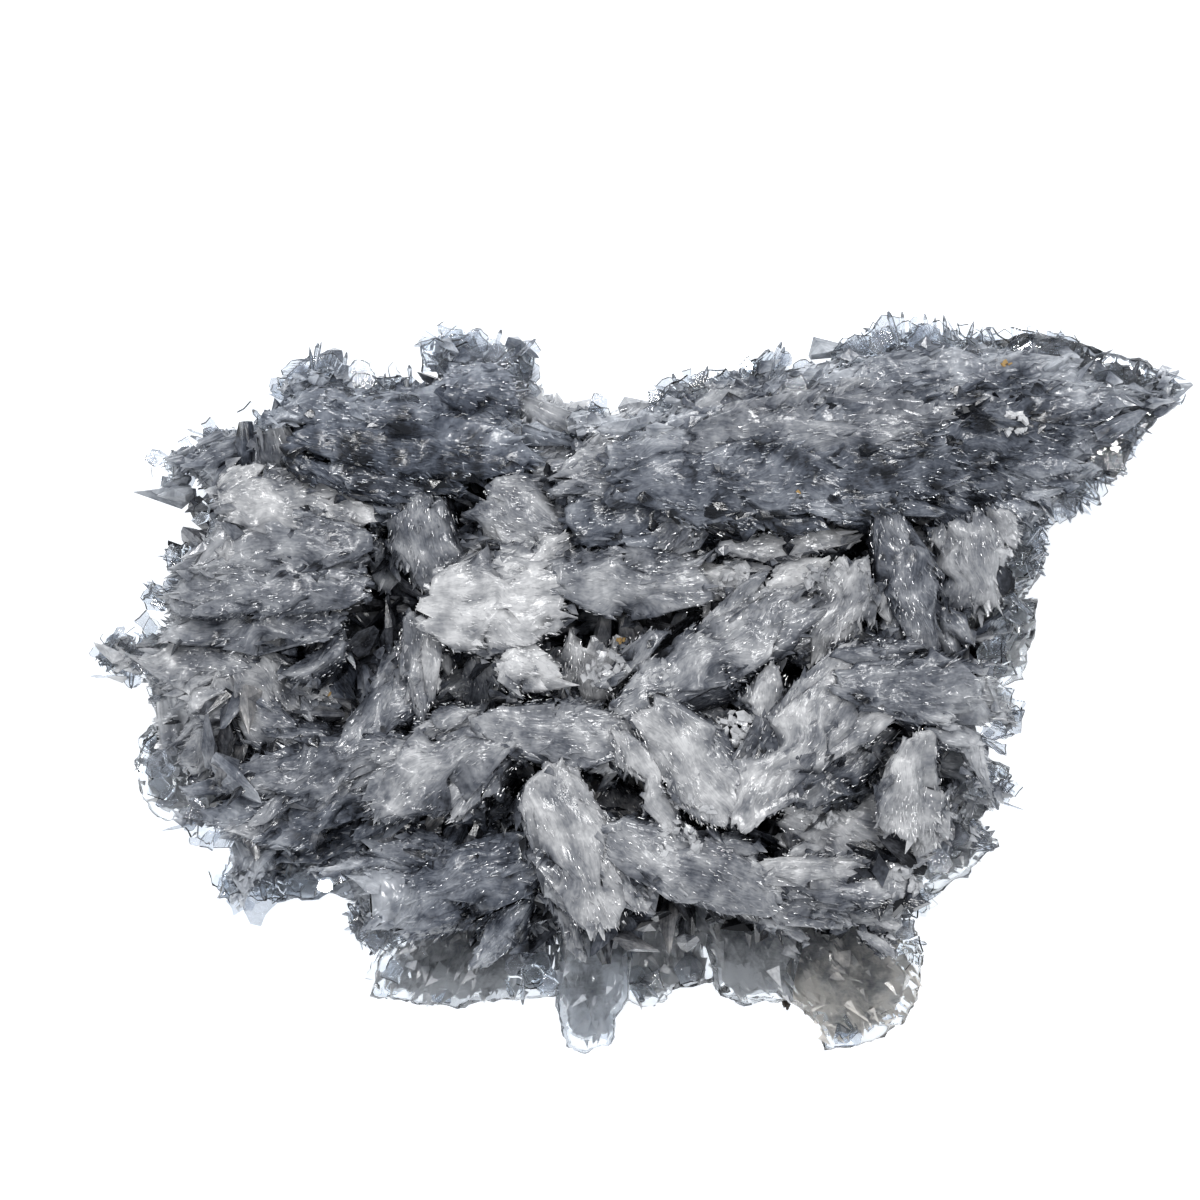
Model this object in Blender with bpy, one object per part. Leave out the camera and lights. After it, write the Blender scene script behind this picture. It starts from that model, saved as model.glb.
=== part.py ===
"""A cluster of crested barite, lying on its broken contact face. It is one grown-together piece: a low mound
of massive barite, upright crests of stacked tabular crystals that grow out of it, and flat plates at its rim.

Sizes are in millimetres and become metres as the meshes are made. +Z is up, the contact face lies at z = 0, and
the origin is under the middle of the cluster's box.
"""

import math
import random
from dataclasses import dataclass

import bmesh
import bpy
from mathutils import Matrix, Vector

MM = 0.001

# Driving sizes of the massive core, from the contact face up: (height, share of the belly's outline).
CORE_LEVELS = ((0.0, 0.60), (3.0, 0.72), (10.0, 0.92), (17.0, 0.80), (19.0, 0.60))
CORE_CENTRE = (-3.0, 5.0)
CORE_ROUGHNESS = 0.035  # how unevenly the core is broken, over its radius
BELLY = (
    (-53, 27.5), (-43, 36.5), (-24, 38), (-10.5, 31), (8, 33.5), (31, 38.5), (53, 38), (54, 31.5),
    (45, 16), (45, 6), (42.5, -9.5), (37.5, -21), (21, -30.5), (-2, -33), (-20, -31), (-38, -21),
    (-53.5, -14.5), (-58.5, 3.5), (-57.5, 16),
)

# How the crystals of every crest are shaped.
TOOTH_PITCH = 11.0  # from one point of a sheet's upper edge to the next
TOOTH_DEPTH = 1.6
MOST_TEETH = 3
SHEET_OVERLAP = 1.22  # a sheet's thickness over the pitch of the sheets
FAN_DEG = 9.0  # how far the outer sheets of a crest turn apart, from one side to the other
SAG_SHARE = 0.30  # how far the outer sheets stay below the middle one, over the crest's width
OUTER_SHARE = 0.84  # an outer sheet's free face over its inner face

# The tabular crystals that splay out all round, under the crests.
ROOT_COUNT = 18
ROOT_REACH = (15.0, 19.0)
ROOT_WIDTH = (10.0, 15.0)
ROOT_THICKNESS = (2.2, 3.4)
ROOT_LEVEL = (9.0, 15.0)  # height of the free end
ROOT_EDGE = (0.96, 1.03)  # how far out the free end lies, over the belly's outline
ROOT_PITCH_DEG = (5.0, 15.0)  # how steeply they climb outwards
ROOT_ROLL_DEG = 30.0

FLAT_DEG = 0.5  # faces that meet at less than this are one face

STONE_COLOUR = (0.46, 0.48, 0.51, 1.0)
STONE_ROUGHNESS = 0.35


@dataclass(frozen=True)
class Crest:
    """An upright stack of tabular crystals, seen from above as a ridge that grows from foot to tip."""

    name: str
    foot: tuple  # plan position of the grown-in end
    tip: tuple  # plan position of the free end
    width: float  # over all sheets, across the ridge
    crown: float  # height of the ridge above the contact face, at the foot
    drop: float  # how much lower the tip is
    depth: float  # from the ridge down to the sheets' lower edge
    lean: float  # degrees that the ridge leans to the left of its run
    sheets: int


@dataclass(frozen=True)
class Plate:
    """A flat-lying crystal plate at the rim."""

    name: str
    outline: tuple
    level: float  # height of its upper face
    thickness: float
    slope: tuple  # rise of the upper face per millimetre along X and Y


CRESTS = (
    # The long wing at the upper right, whose sheets spread towards its point like a feather.
    Crest("wing_spine", (-3.5, 29), (70.2, 37.7), 8, 37, 13, 24, 0, 3),
    Crest("wing_upper", (2, 35.5), (51.5, 44.5), 7, 32, 6, 20, 12, 3),
    Crest("wing_brow", (22.5, 40), (64, 41), 7, 33, 9, 20, 10, 3),
    Crest("wing_middle", (6.5, 30.5), (43, 34.5), 7.5, 38, 5, 22, -4, 3),
    Crest("wing_lower", (-2.5, 25), (46.5, 27.5), 8, 39, 8, 24, -10, 3),
    Crest("wing_heel", (-5, 23), (11, 18), 5.5, 32, 5, 18, -12, 2),
    Crest("wing_fringe_high", (34, 31.5), (64, 30), 6.5, 34, 12, 18, -8, 2),
    Crest("wing_fringe_low", (36, 28), (60.5, 24), 6.5, 32, 12, 18, -14, 2),
    Crest("wing_fringe_south", (37, 24), (52.5, 16), 7, 30, 9, 18, -18, 3),
    Crest("wing_spike", (50, 28), (62, 23), 2, 27, 5, 6, 0, 1),
    Crest("wing_shoulder", (-13, 27.5), (8, 37.5), 8.5, 30, 5, 20, 10, 3),
    Crest("wing_root", (-10, 26), (12, 30.5), 9, 35, 1, 20, 0, 3),
    Crest("wing_root_low", (-9, 21), (10, 24.5), 7.5, 34, 1, 20, -4, 3),
    Crest("saddle_peak", (-8.5, 30), (-6, 36.5), 5, 25, 5, 14, 0, 2),
    # The slate-grey lobes at the upper left, layered along X.
    Crest("slate_crown", (-27, 43.5), (-12.5, 43.5), 5, 27, 4, 18, 12, 2),
    Crest("slate_high", (-30, 39), (-11, 37.5), 6, 32, 4, 20, 8, 2),
    Crest("slate_middle", (-47, 36.5), (-10.5, 33.5), 5.5, 34, 6, 22, 4, 2),
    Crest("slate_low", (-43, 31.5), (-11.5, 29), 6, 36, 6, 22, 0, 2),
    Crest("slate_brow", (-30.5, 40), (-48, 39.5), 5, 26, 5, 16, 12, 2),
    Crest("slate_west", (-28, 35), (-49.5, 35), 5, 31, 6, 18, 6, 2),
    Crest("slate_root", (-39.5, 26.5), (-20, 26), 5.5, 34, 5, 18, -4, 2),
    Crest("wedge", (-46.5, 31.5), (-63, 27.5), 6.5, 25, 8, 13, 14, 2),
    Crest("wedge_under", (-46, 26), (-57, 24), 6, 23, 5, 13, -6, 2),
    Crest("pleats", (-46.5, 33.5), (-43.5, 23), 6, 30, 5, 14, 0, 2),
    # The layered boulder at the left.
    Crest("boulder_cap", (-54, 23), (-34, 23), 6.5, 36, 4, 18, 10, 2),
    Crest("boulder_high", (-34, 18.5), (-60.5, 17), 6.5, 37, 7, 20, 4, 2),
    Crest("boulder_middle", (-34.5, 13.5), (-63, 12), 6, 36, 8, 20, 0, 2),
    Crest("boulder_low", (-36.5, 8), (-62.5, 7.5), 6, 33, 8, 18, -6, 2),
    Crest("boulder_nose", (-49.5, 4), (-70, 3.5), 7.5, 28, 9, 16, -4, 3),
    Crest("boulder_chin", (-49, -1.5), (-66, -1), 5.5, 25, 8, 13, -12, 2),
    Crest("pale_fan", (-51, 4.5), (-43, -6.5), 7, 28, 7, 16, 0, 3),
    Crest("dark_fan", (-41, 4.5), (-37.5, -4.5), 5.5, 22, 5, 12, 0, 2),
    Crest("left_leaf", (-50, -4), (-57, -11.5), 5.5, 23, 5, 11, 16, 2),
    # The long ridges that cross the lower left and arch over the deep hollow.
    Crest("furrow_ridge", (-38.5, -8.5), (-24.5, 4.5), 6, 31, 5, 16, 8, 2),
    Crest("sole_ridge", (-26.5, -12), (-60, -19.5), 7, 29, 9, 18, -4, 3),
    Crest("sole_upper", (-30, -7), (-54.5, -13.5), 6, 32, 8, 18, 4, 2),
    Crest("sole_under", (-32.5, -19), (-51.5, -21), 4.5, 21, 5, 12, -8, 2),
    Crest("arch_west", (-16.5, -5), (-35, -15), 7.5, 37, 4, 18, -8, 3),
    Crest("arch_east", (-21.5, -5.5), (1.5, -7.5), 5.5, 38, 4, 16, -4, 2),
    # The pale table in the middle and what stands round it.
    Crest("centre_table", (-27, 10), (-8.5, 9.5), 11, 38, 3, 20, -6, 4),
    Crest("centre_rise", (-20.5, 23), (-4, 17.5), 10, 33, 4, 18, 0, 4),
    Crest("centre_east", (-10.5, 13), (8.5, 12), 6.5, 36, 4, 18, -6, 2),
    Crest("centre_pleats", (-28, 24), (-27.5, 12), 7.5, 31, 4, 16, 0, 3),
    Crest("twin_lath_west", (-28, 10), (-27, -5.5), 3, 33, 3, 18, 0, 2),
    Crest("twin_lath_east", (-25.5, 9.5), (-26, -2), 2.5, 34, 3, 18, 0, 2),
    Crest("recess_west", (-19, 4.5), (-17.5, -3), 7, 27, 4, 14, 0, 3),
    Crest("recess_east", (-6.5, 6), (-6.5, -4), 7.5, 30, 5, 16, 0, 3),
    # The crossing crests of the lower right.
    Crest("slant_upper", (-2.5, -2), (23, 11.5), 7, 36, 3, 18, 12, 3),
    Crest("slant_main", (13, -17.5), (27.5, 4.5), 8, 38, 3, 20, -8, 3),
    Crest("pillar", (28, 16), (23, 2.5), 6.5, 34, 4, 18, 0, 2),
    Crest("drape_west", (31.5, 23), (38, 3), 6.5, 34, 5, 18, 0, 2),
    Crest("drape_east", (41, 22), (44.5, 9), 8.5, 31, 5, 16, 0, 3),
    Crest("recess_north", (30.5, 10), (33, 3.5), 6.5, 26, 3, 12, 0, 2),
    Crest("under_wing_lath", (11, 18), (27, 19.5), 3.5, 32, 3, 15, 6, 2),
    Crest("snow_druse_west", (8, 13), (17, 13.5), 6, 30, 3, 14, 0, 2),
    Crest("snow_druse_east", (17.5, 12.5), (26, 14), 6, 31, 3, 14, 0, 2),
    Crest("notch_blade", (8, 21), (0, 16), 3.5, 35, 4, 16, 8, 2),
    Crest("east_recess", (33, -7), (47, -9), 6, 27, 5, 13, 0, 2),
    Crest("hollow_lath", (-20, -15.5), (-12, -15.5), 2.5, 27, 2, 10, 0, 1),
    Crest("hollow_floor_west", (-21.5, -12), (-22, -22), 5, 24, 3, 10, 0, 2),
    Crest("hollow_floor_east", (-5, -12), (2, -22), 7, 26, 3, 12, 0, 2),
    Crest("hollow_blue", (6, -16), (10.5, -25), 5.5, 25, 3, 12, 0, 2),
    Crest("arch_needles", (0, -8.5), (-7, -10.5), 2.5, 34, 2, 12, 0, 1),
    Crest("fold_ridge", (-42, -8), (-51, -3.5), 5.5, 27, 4, 12, 0, 2),
    Crest("eastern_sweep", (25, 0.5), (50, -2), 7, 38, 10, 18, -4, 3),
    Crest("keystone", (1, -3.5), (12.5, -17.5), 8, 39, 3, 20, -10, 3),
    Crest("druse_pit", (6.5, -2), (14.5, -12.5), 7.5, 29, 3, 16, 0, 3),
    Crest("under_sweep", (20, -15), (31.5, -4.5), 6, 31, 3, 16, 10, 2),
    Crest("column", (35.5, -6), (33, -20.5), 6.5, 34, 5, 18, 0, 2),
    Crest("pearl_block", (18.5, -16), (32.5, -18), 8.5, 28, 3, 14, 0, 3),
    Crest("east_shelf", (33.5, -11), (48.5, -14), 8, 23, 6, 12, 4, 3),
    Crest("east_shelf_low", (32.5, -19), (46, -21), 7.5, 20, 5, 11, -4, 3),
    Crest("lower_stack_high", (14.5, -23), (30, -23.5), 4.5, 32, 4, 14, 6, 2),
    Crest("lower_stack_middle", (20, -25), (38, -26), 4.5, 30, 5, 14, 0, 2),
    Crest("lower_stack_low", (14, -28), (38.5, -28.5), 4.5, 28, 6, 14, -8, 2),
    # The spur, the dagger and the oar at the bottom.
    Crest("spur", (-12.5, -10), (-3.5, -31), 7, 38, 5, 20, 6, 3),
    Crest("spur_twin", (-12, -21), (-6.5, -31.5), 4.5, 34, 6, 16, -6, 2),
    Crest("dagger", (-4.5, -18.5), (17.5, -29.5), 7, 36, 6, 18, -8, 3),
    Crest("broad_oar", (-12, -20.5), (-36.5, -30.5), 8, 31, 8, 18, -6, 3),
    Crest("oar_inner", (-29, -22.5), (-38, -24), 5.5, 21, 4, 11, 0, 2),
    Crest("spur_foot", (-13.5, -27.5), (-9, -31.5), 5.5, 22, 3, 10, 0, 2),
)

PLATES = (
    Plate("broad_plate", ((-34.5, -40), (-33, -35), (-28, -30.5), (-24, -22), (-12.5, -24), (-9, -34.5),
                          (-9.5, -39.5), (-17.5, -40.5), (-25.5, -41.5), (-29, -40.5)), 12, 3.5, (0, 0.10)),
    Plate("tongue_plate", ((-9, -24), (0.5, -24), (-1.5, -40), (-3.5, -45.5), (-6.5, -47), (-9, -46),
                           (-10.5, -41.5)), 17, 4.5, (0, 0.16)),
    Plate("clear_shelf", ((-2.5, -25), (8.5, -25), (10, -38.5), (4.5, -39), (3.5, -41), (0.5, -41.5),
                          (-2, -40)), 9, 2.5, (0, 0.05)),
    Plate("inner_skirt", ((7.5, -24), (22, -24), (20, -40.5), (13, -41), (10, -39)), 14, 4, (0.02, 0.14)),
    Plate("disc_plate", ((12.5, -24), (31, -22), (35.5, -31), (37, -35), (36.5, -39), (34.5, -43),
                         (31, -45.5), (24, -47), (23.5, -44), (21, -41.5), (15.5, -38.5)), 12, 3, (-0.03, 0.12)),
    Plate("blue_ledge", ((-52, -16), (-30.5, -14), (-32, -27.5), (-39.5, -27), (-46, -28), (-49, -27),
                         (-54, -27.5), (-52.5, -22.5)), 10, 3.5, (0.02, 0.06)),
    Plate("blue_flap", ((-61, -3.5), (-48, -4), (-48, -14), (-56.5, -16.5), (-61, -17.5), (-63.5, -14.5),
                        (-65, -10), (-63.5, -6.5)), 11, 3, (0.05, 0)),
    Plate("east_window", ((38, 10.5), (51, 11), (50, 5), (49, 1), (44.5, -0.5), (38, 0)), 22, 3, (-0.08, 0)),
    Plate("wing_flap", ((40, 17), (52.5, 17.5), (51.5, 13.5), (49, 10.5), (40, 10)), 18, 3, (-0.06, 0)),
    Plate("saddle_ledge", ((-16, 20), (-16, 31), (-10, 34), (-2, 34.5), (4, 38), (12, 40), (12, 28)),
          20, 5, (0, -0.04)),
    Plate("shelf_rim", ((36, -8), (48, -10), (47, -15), (42, -18), (46.5, -20), (42, -24.5), (37, -27),
                        (34, -22)), 15, 3, (-0.05, 0)),
)


def teeth(length, drop, random_source, most):
    """The upper edge of a sheet from its tip back to its foot, as (run, rise) points, ragged like a saw."""
    count = max(1, min(most, round(length / TOOTH_PITCH)))
    pitch = length / count
    points = []
    for index in range(count, 0, -1):
        front, back = index * pitch, (index - 1) * pitch
        height = -drop * (front / length) ** 2 + random_source.uniform(-0.6, 0.4)
        points.append((front - random_source.uniform(0.16, 0.3) * pitch, height))
        if index > 1:
            points.append((back + random_source.uniform(-0.05, 0.1) * pitch, height - TOOTH_DEPTH))
    return points


def sheet_outline(crest, length, shortfall, random_source):
    """A sheet's outline in its own plane, as (run, rise) points, with rise 0 at the top of its foot."""
    depth = crest.depth
    point = (length, -crest.drop - random_source.uniform(0.15, 0.3) * depth)
    upper = [(run, rise - shortfall) for run, rise in teeth(length, crest.drop, random_source, MOST_TEETH)]
    lower = [(0.02 * length, -depth), (0.72 * length, -depth - 0.4 * crest.drop)]
    return [point, *upper, *lower]


def crest_frame(crest):
    """The matrix that carries (run, across, rise) to the row frame, and the crest's length, in millimetres."""
    run = Vector((crest.tip[0] - crest.foot[0], crest.tip[1] - crest.foot[1], 0))
    length = run.length
    turn = Matrix.Rotation(math.atan2(run.y, run.x), 4, "Z")
    lean = Matrix.Rotation(math.radians(-crest.lean), 4, "X")
    return Matrix.Translation((*crest.foot, crest.crown)) @ turn @ lean, length


def slab_mesh(outline, thickness, outer_side, place):
    """A flat crystal in metres, carried by a matrix in millimetres: an outline of (run, rise) points, thickened
    across. Its face on outer_side, -1 or 1, is drawn in, and with 0 both faces are alike."""
    mesh = bmesh.new()
    facing = outer_side or 1
    base = mesh.faces.new([mesh.verts.new((run, -facing * thickness / 2, rise)) for run, rise in outline])
    grown = bmesh.ops.extrude_face_region(mesh, geom=[base])["geom"]
    outer = [v for v in grown if isinstance(v, bmesh.types.BMVert)]
    bmesh.ops.translate(mesh, vec=(0, facing * thickness, 0), verts=outer)
    if outer_side:
        middle = sum((v.co for v in outer), Vector()) / len(outer)
        bmesh.ops.scale(mesh, vec=(OUTER_SHARE, 1, OUTER_SHARE), space=Matrix.Translation(-middle), verts=outer)
    bmesh.ops.recalc_face_normals(mesh, faces=mesh.faces)
    bmesh.ops.transform(mesh, matrix=Matrix.Scale(MM, 4) @ place, verts=mesh.verts)
    return mesh


def crest_meshes(crest):
    """One bmesh for each sheet of a crest, fanned out from the foot."""
    frame, length = crest_frame(crest)
    random_source = random.Random(crest.name)
    pitch = crest.width / crest.sheets
    for index in range(crest.sheets):
        offset = (index - (crest.sheets - 1) / 2) * pitch
        side = 2 * offset / crest.width
        shortfall = SAG_SHARE * crest.width * side**2 + random_source.uniform(0, 0.5)
        reach = length * (1 - (0.2 + random_source.uniform(0, 0.15)) * side**2)
        fan = Matrix.Rotation(math.radians(FAN_DEG / 2 * side + random_source.uniform(-1.5, 1.5)), 4, "Z")
        place = frame @ Matrix.Translation((0, offset, 0)) @ fan
        outline = sheet_outline(crest, reach, shortfall, random_source)
        outer_side = (side > 0) - (side < 0)
        yield slab_mesh(outline, pitch * SHEET_OVERLAP, outer_side, place)


def root_meshes():
    """The splayed crystals under the crests, one bmesh each, evenly spaced round the core."""
    random_source = random.Random("roots")
    spacing = math.tau / ROOT_COUNT
    for index in range(ROOT_COUNT):
        heading = spacing * (index + random_source.uniform(-0.25, 0.25))
        centre = Vector(CORE_CENTRE)
        tip = centre + (edge_of_belly(heading) - centre) * random_source.uniform(*ROOT_EDGE)
        reach = random_source.uniform(*ROOT_REACH)
        half = random_source.uniform(*ROOT_WIDTH) / 2
        outline = ((-reach, -0.3 * half), (-0.4 * reach, -half), (0, -0.25 * half), (-0.08 * reach, 0.5 * half),
                   (-0.45 * reach, half), (-reach, 0.3 * half))
        place = (
            Matrix.Translation((*tip, random_source.uniform(*ROOT_LEVEL)))
            @ Matrix.Rotation(heading + random_source.uniform(-0.3, 0.3), 4, "Z")
            @ Matrix.Rotation(-math.radians(random_source.uniform(*ROOT_PITCH_DEG)), 4, "Y")
            @ Matrix.Rotation(math.radians(90 + random_source.uniform(-ROOT_ROLL_DEG, ROOT_ROLL_DEG)), 4, "X")
        )
        yield slab_mesh(outline, random_source.uniform(*ROOT_THICKNESS), 0, place)


def edge_of_belly(heading):
    """Where the belly's outline lies in a direction from the core's centre, as a plan position."""
    centre = Vector(CORE_CENTRE)
    direction = Vector((math.cos(heading), math.sin(heading)))
    nearest = max(BELLY, key=lambda point: (Vector(point) - centre).normalized().dot(direction))
    return centre + direction * (Vector(nearest) - centre).length


def plate_mesh(plate):
    """A flat-lying plate, its upper and lower faces sloping as its crystal does."""
    mesh = bmesh.new()
    middle = Vector((sum(x for x, _ in plate.outline), sum(y for _, y in plate.outline))) / len(plate.outline)
    ring = []
    for x, y in plate.outline:
        rise = (x - middle.x) * plate.slope[0] + (y - middle.y) * plate.slope[1]
        ring.append(mesh.verts.new(Vector((x, y, plate.level + rise)) * MM))
    grown = bmesh.ops.extrude_face_region(mesh, geom=[mesh.faces.new(ring)])["geom"]
    lower = [v for v in grown if isinstance(v, bmesh.types.BMVert)]
    bmesh.ops.translate(mesh, vec=(0, 0, -plate.thickness * MM), verts=lower)
    bmesh.ops.recalc_face_normals(mesh, faces=mesh.faces)
    return mesh


def core_mesh():
    """The massive core: rings of the belly's outline, drawn in towards the contact face and the hollows' floor."""
    mesh = bmesh.new()
    random_source = random.Random("core")
    centre = Vector(CORE_CENTRE)
    rings = []
    for height, share in CORE_LEVELS:
        uneven = [share * random_source.uniform(1 - CORE_ROUGHNESS, 1 + CORE_ROUGHNESS) for _ in BELLY]
        points = [centre + (Vector(point) - centre) * factor for point, factor in zip(BELLY, uneven)]
        rings.append([mesh.verts.new(Vector((*point, height)) * MM) for point in points])
    mesh.faces.new(rings[0])
    mesh.faces.new(rings[-1])
    for lower, upper in zip(rings, rings[1:]):
        for index, vertex in enumerate(lower):
            following = (index + 1) % len(lower)
            mesh.faces.new((vertex, lower[following], upper[following], upper[index]))
    bmesh.ops.recalc_face_normals(mesh, faces=mesh.faces)
    return mesh


def as_object(name, mesh, collection):
    """Turns a bmesh into an object in a collection."""
    data = bpy.data.meshes.new(name)
    mesh.to_mesh(data)
    mesh.free()
    made = bpy.data.objects.new(name, data)
    collection.objects.link(made)
    return made


def islands(mesh):
    """The connected groups of faces in a bmesh."""
    waiting = set(mesh.faces)
    while waiting:
        reached = [waiting.pop()]
        for face in reached:
            for edge in face.edges:
                for neighbour in edge.link_faces:
                    if neighbour in waiting:
                        waiting.remove(neighbour)
                        reached.append(neighbour)
        yield reached


def grown_together(core, growths):
    """The core joined with all its growths, as one closed bmesh without the sealed pores between the crystals."""
    joined = core.modifiers.new("grown together", "BOOLEAN")
    joined.operation = "UNION"
    joined.operand_type = "COLLECTION"
    joined.collection = growths
    joined.solver = "EXACT"
    graph = bpy.context.evaluated_depsgraph_get()
    whole = bmesh.new()
    whole.from_mesh(core.evaluated_get(graph).data)
    shells = sorted(islands(whole), key=len)
    pores = [face for shell in shells[:-1] for face in shell]
    bmesh.ops.delete(whole, geom=pores, context="FACES")
    bmesh.ops.dissolve_limit(whole, angle_limit=math.radians(FLAT_DEG), verts=whole.verts, edges=whole.edges)
    bmesh.ops.triangulate(whole, faces=whole.faces)
    return whole


def stone_material():
    """Grey, glassy barite."""
    material = bpy.data.materials.new("barite")
    material.use_nodes = True
    shader = material.node_tree.nodes["Principled BSDF"]
    shader.inputs["Base Color"].default_value = STONE_COLOUR
    shader.inputs["Roughness"].default_value = STONE_ROUGHNESS
    shader.inputs["Metallic"].default_value = 0.0
    return material


def main():
    """Builds the cluster as one solid: the core joined with every sheet and plate that grows from it."""
    for old in list(bpy.data.objects):
        bpy.data.objects.remove(old)
    growths = bpy.data.collections.new("growths")
    bpy.context.scene.collection.children.link(growths)
    for crest in CRESTS:
        for number, mesh in enumerate(crest_meshes(crest), 1):
            as_object(f"{crest.name}_{number}", mesh, growths)
    for plate in PLATES:
        as_object(plate.name, plate_mesh(plate), growths)
    for number, mesh in enumerate(root_meshes(), 1):
        as_object(f"root_{number}", mesh, growths)
    core = as_object("core", core_mesh(), bpy.context.scene.collection)
    cluster = as_object("barite_cluster", grown_together(core, growths), bpy.context.scene.collection)
    cluster.data.materials.append(stone_material())
    for helper in [core, *growths.objects]:
        bpy.data.objects.remove(helper)
    bpy.data.collections.remove(growths)
    print(len(cluster.data.polygons), "triangles")


main()
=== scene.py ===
"""Dresses a crested barite cluster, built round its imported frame.

Every crest is a stack of thin crystal pages, shingled with fine blades that point from its foot to its tip. Clear
scales fringe the rim, and flat plates of overlapping scales lie along the lower edge. Sizes are in millimetres and
become metres as the meshes are made.
"""

import logging
import math
import random
from dataclasses import dataclass, replace
from enum import Enum, auto
from typing import NamedTuple

import bmesh
import bpy
import numpy as np
from bmesh.types import BMesh, BMFace, BMVert
from bpy.types import Material, Mesh, Node, NodeSocket, NodeTree, Object
from mathutils import Matrix, Vector, noise
from mathutils.bvhtree import BVHTree


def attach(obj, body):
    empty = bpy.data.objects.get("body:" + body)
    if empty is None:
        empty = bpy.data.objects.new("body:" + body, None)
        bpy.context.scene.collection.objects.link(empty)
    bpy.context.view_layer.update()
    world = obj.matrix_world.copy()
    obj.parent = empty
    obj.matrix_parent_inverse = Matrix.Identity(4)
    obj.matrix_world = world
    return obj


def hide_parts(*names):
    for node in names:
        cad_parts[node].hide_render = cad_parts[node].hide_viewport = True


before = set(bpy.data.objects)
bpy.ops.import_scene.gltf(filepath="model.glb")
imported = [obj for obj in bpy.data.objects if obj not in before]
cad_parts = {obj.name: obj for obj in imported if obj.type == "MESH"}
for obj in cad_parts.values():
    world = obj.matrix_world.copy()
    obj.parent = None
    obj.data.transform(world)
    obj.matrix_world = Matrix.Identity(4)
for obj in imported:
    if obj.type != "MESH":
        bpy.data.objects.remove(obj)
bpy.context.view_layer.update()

LOG = logging.getLogger("barite")
MM = 0.001
NODE = "barite_cluster"
BODY = "root"
ORIGIN = Vector((0, 0, 0))


# ---------------- Sizes and places


class Shade(Enum):
    """How a crest looks, as (tone, warmth). Tone runs from 0, dark slate, to 1, snow, and warmth from 0 to 1."""

    COAL = (0.05, 0.3)
    SLATE = (0.20, 0.10)
    SMOKE = (0.34, 0.25)
    ASH = (0.46, 0.45)
    DOVE = (0.58, 0.50)
    PEARL = (0.72, 0.55)
    SNOW = (0.90, 0.55)
    UMBER = (0.38, 0.90)
    SEPIA = (0.48, 0.95)


class Region(Enum):
    """The parts of the cluster that are made as pieces of their own, so that none grows too large."""

    WING = "wing"
    SLATE = "slate_lobes"
    BOULDER = "boulder"
    LEFT = "left_ridges"
    MIDDLE = "middle"
    RIGHT = "right_crests"
    FOOT = "foot_spurs"


@dataclass(frozen=True)
class Crest:
    """An upright stack of tabular crystals, seen from above as a ridge that grows from foot to tip."""

    name: str  # what the ridge is called
    foot: tuple  # plan position of the grown-in end
    tip: tuple  # plan position of the free end
    width: float  # over all its pages, across the ridge
    crown: float  # height of the ridge above the contact face, at the foot
    drop: float  # how much lower the tip is
    depth: float  # from the ridge down to the pages' lower edge
    lean: float  # degrees that the ridge leans to the left of its run
    shade: Shade  # how pale and how warm it is

    @property
    def length(self) -> float:
        """From foot to tip, in plan."""
        return math.dist(self.foot, self.tip)

    @property
    def frame(self) -> Matrix:
        """The crest's own frame.

        Returns:
            A matrix that carries (run, across, rise) to the cluster's frame, in millimetres.
        """
        heading = math.atan2(self.tip[1] - self.foot[1], self.tip[0] - self.foot[0])
        turn = Matrix.Rotation(heading, 4, "Z")
        lean = Matrix.Rotation(math.radians(-self.lean), 4, "X")
        return Matrix.Translation((*self.foot, self.crown)) @ turn @ lean


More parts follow.
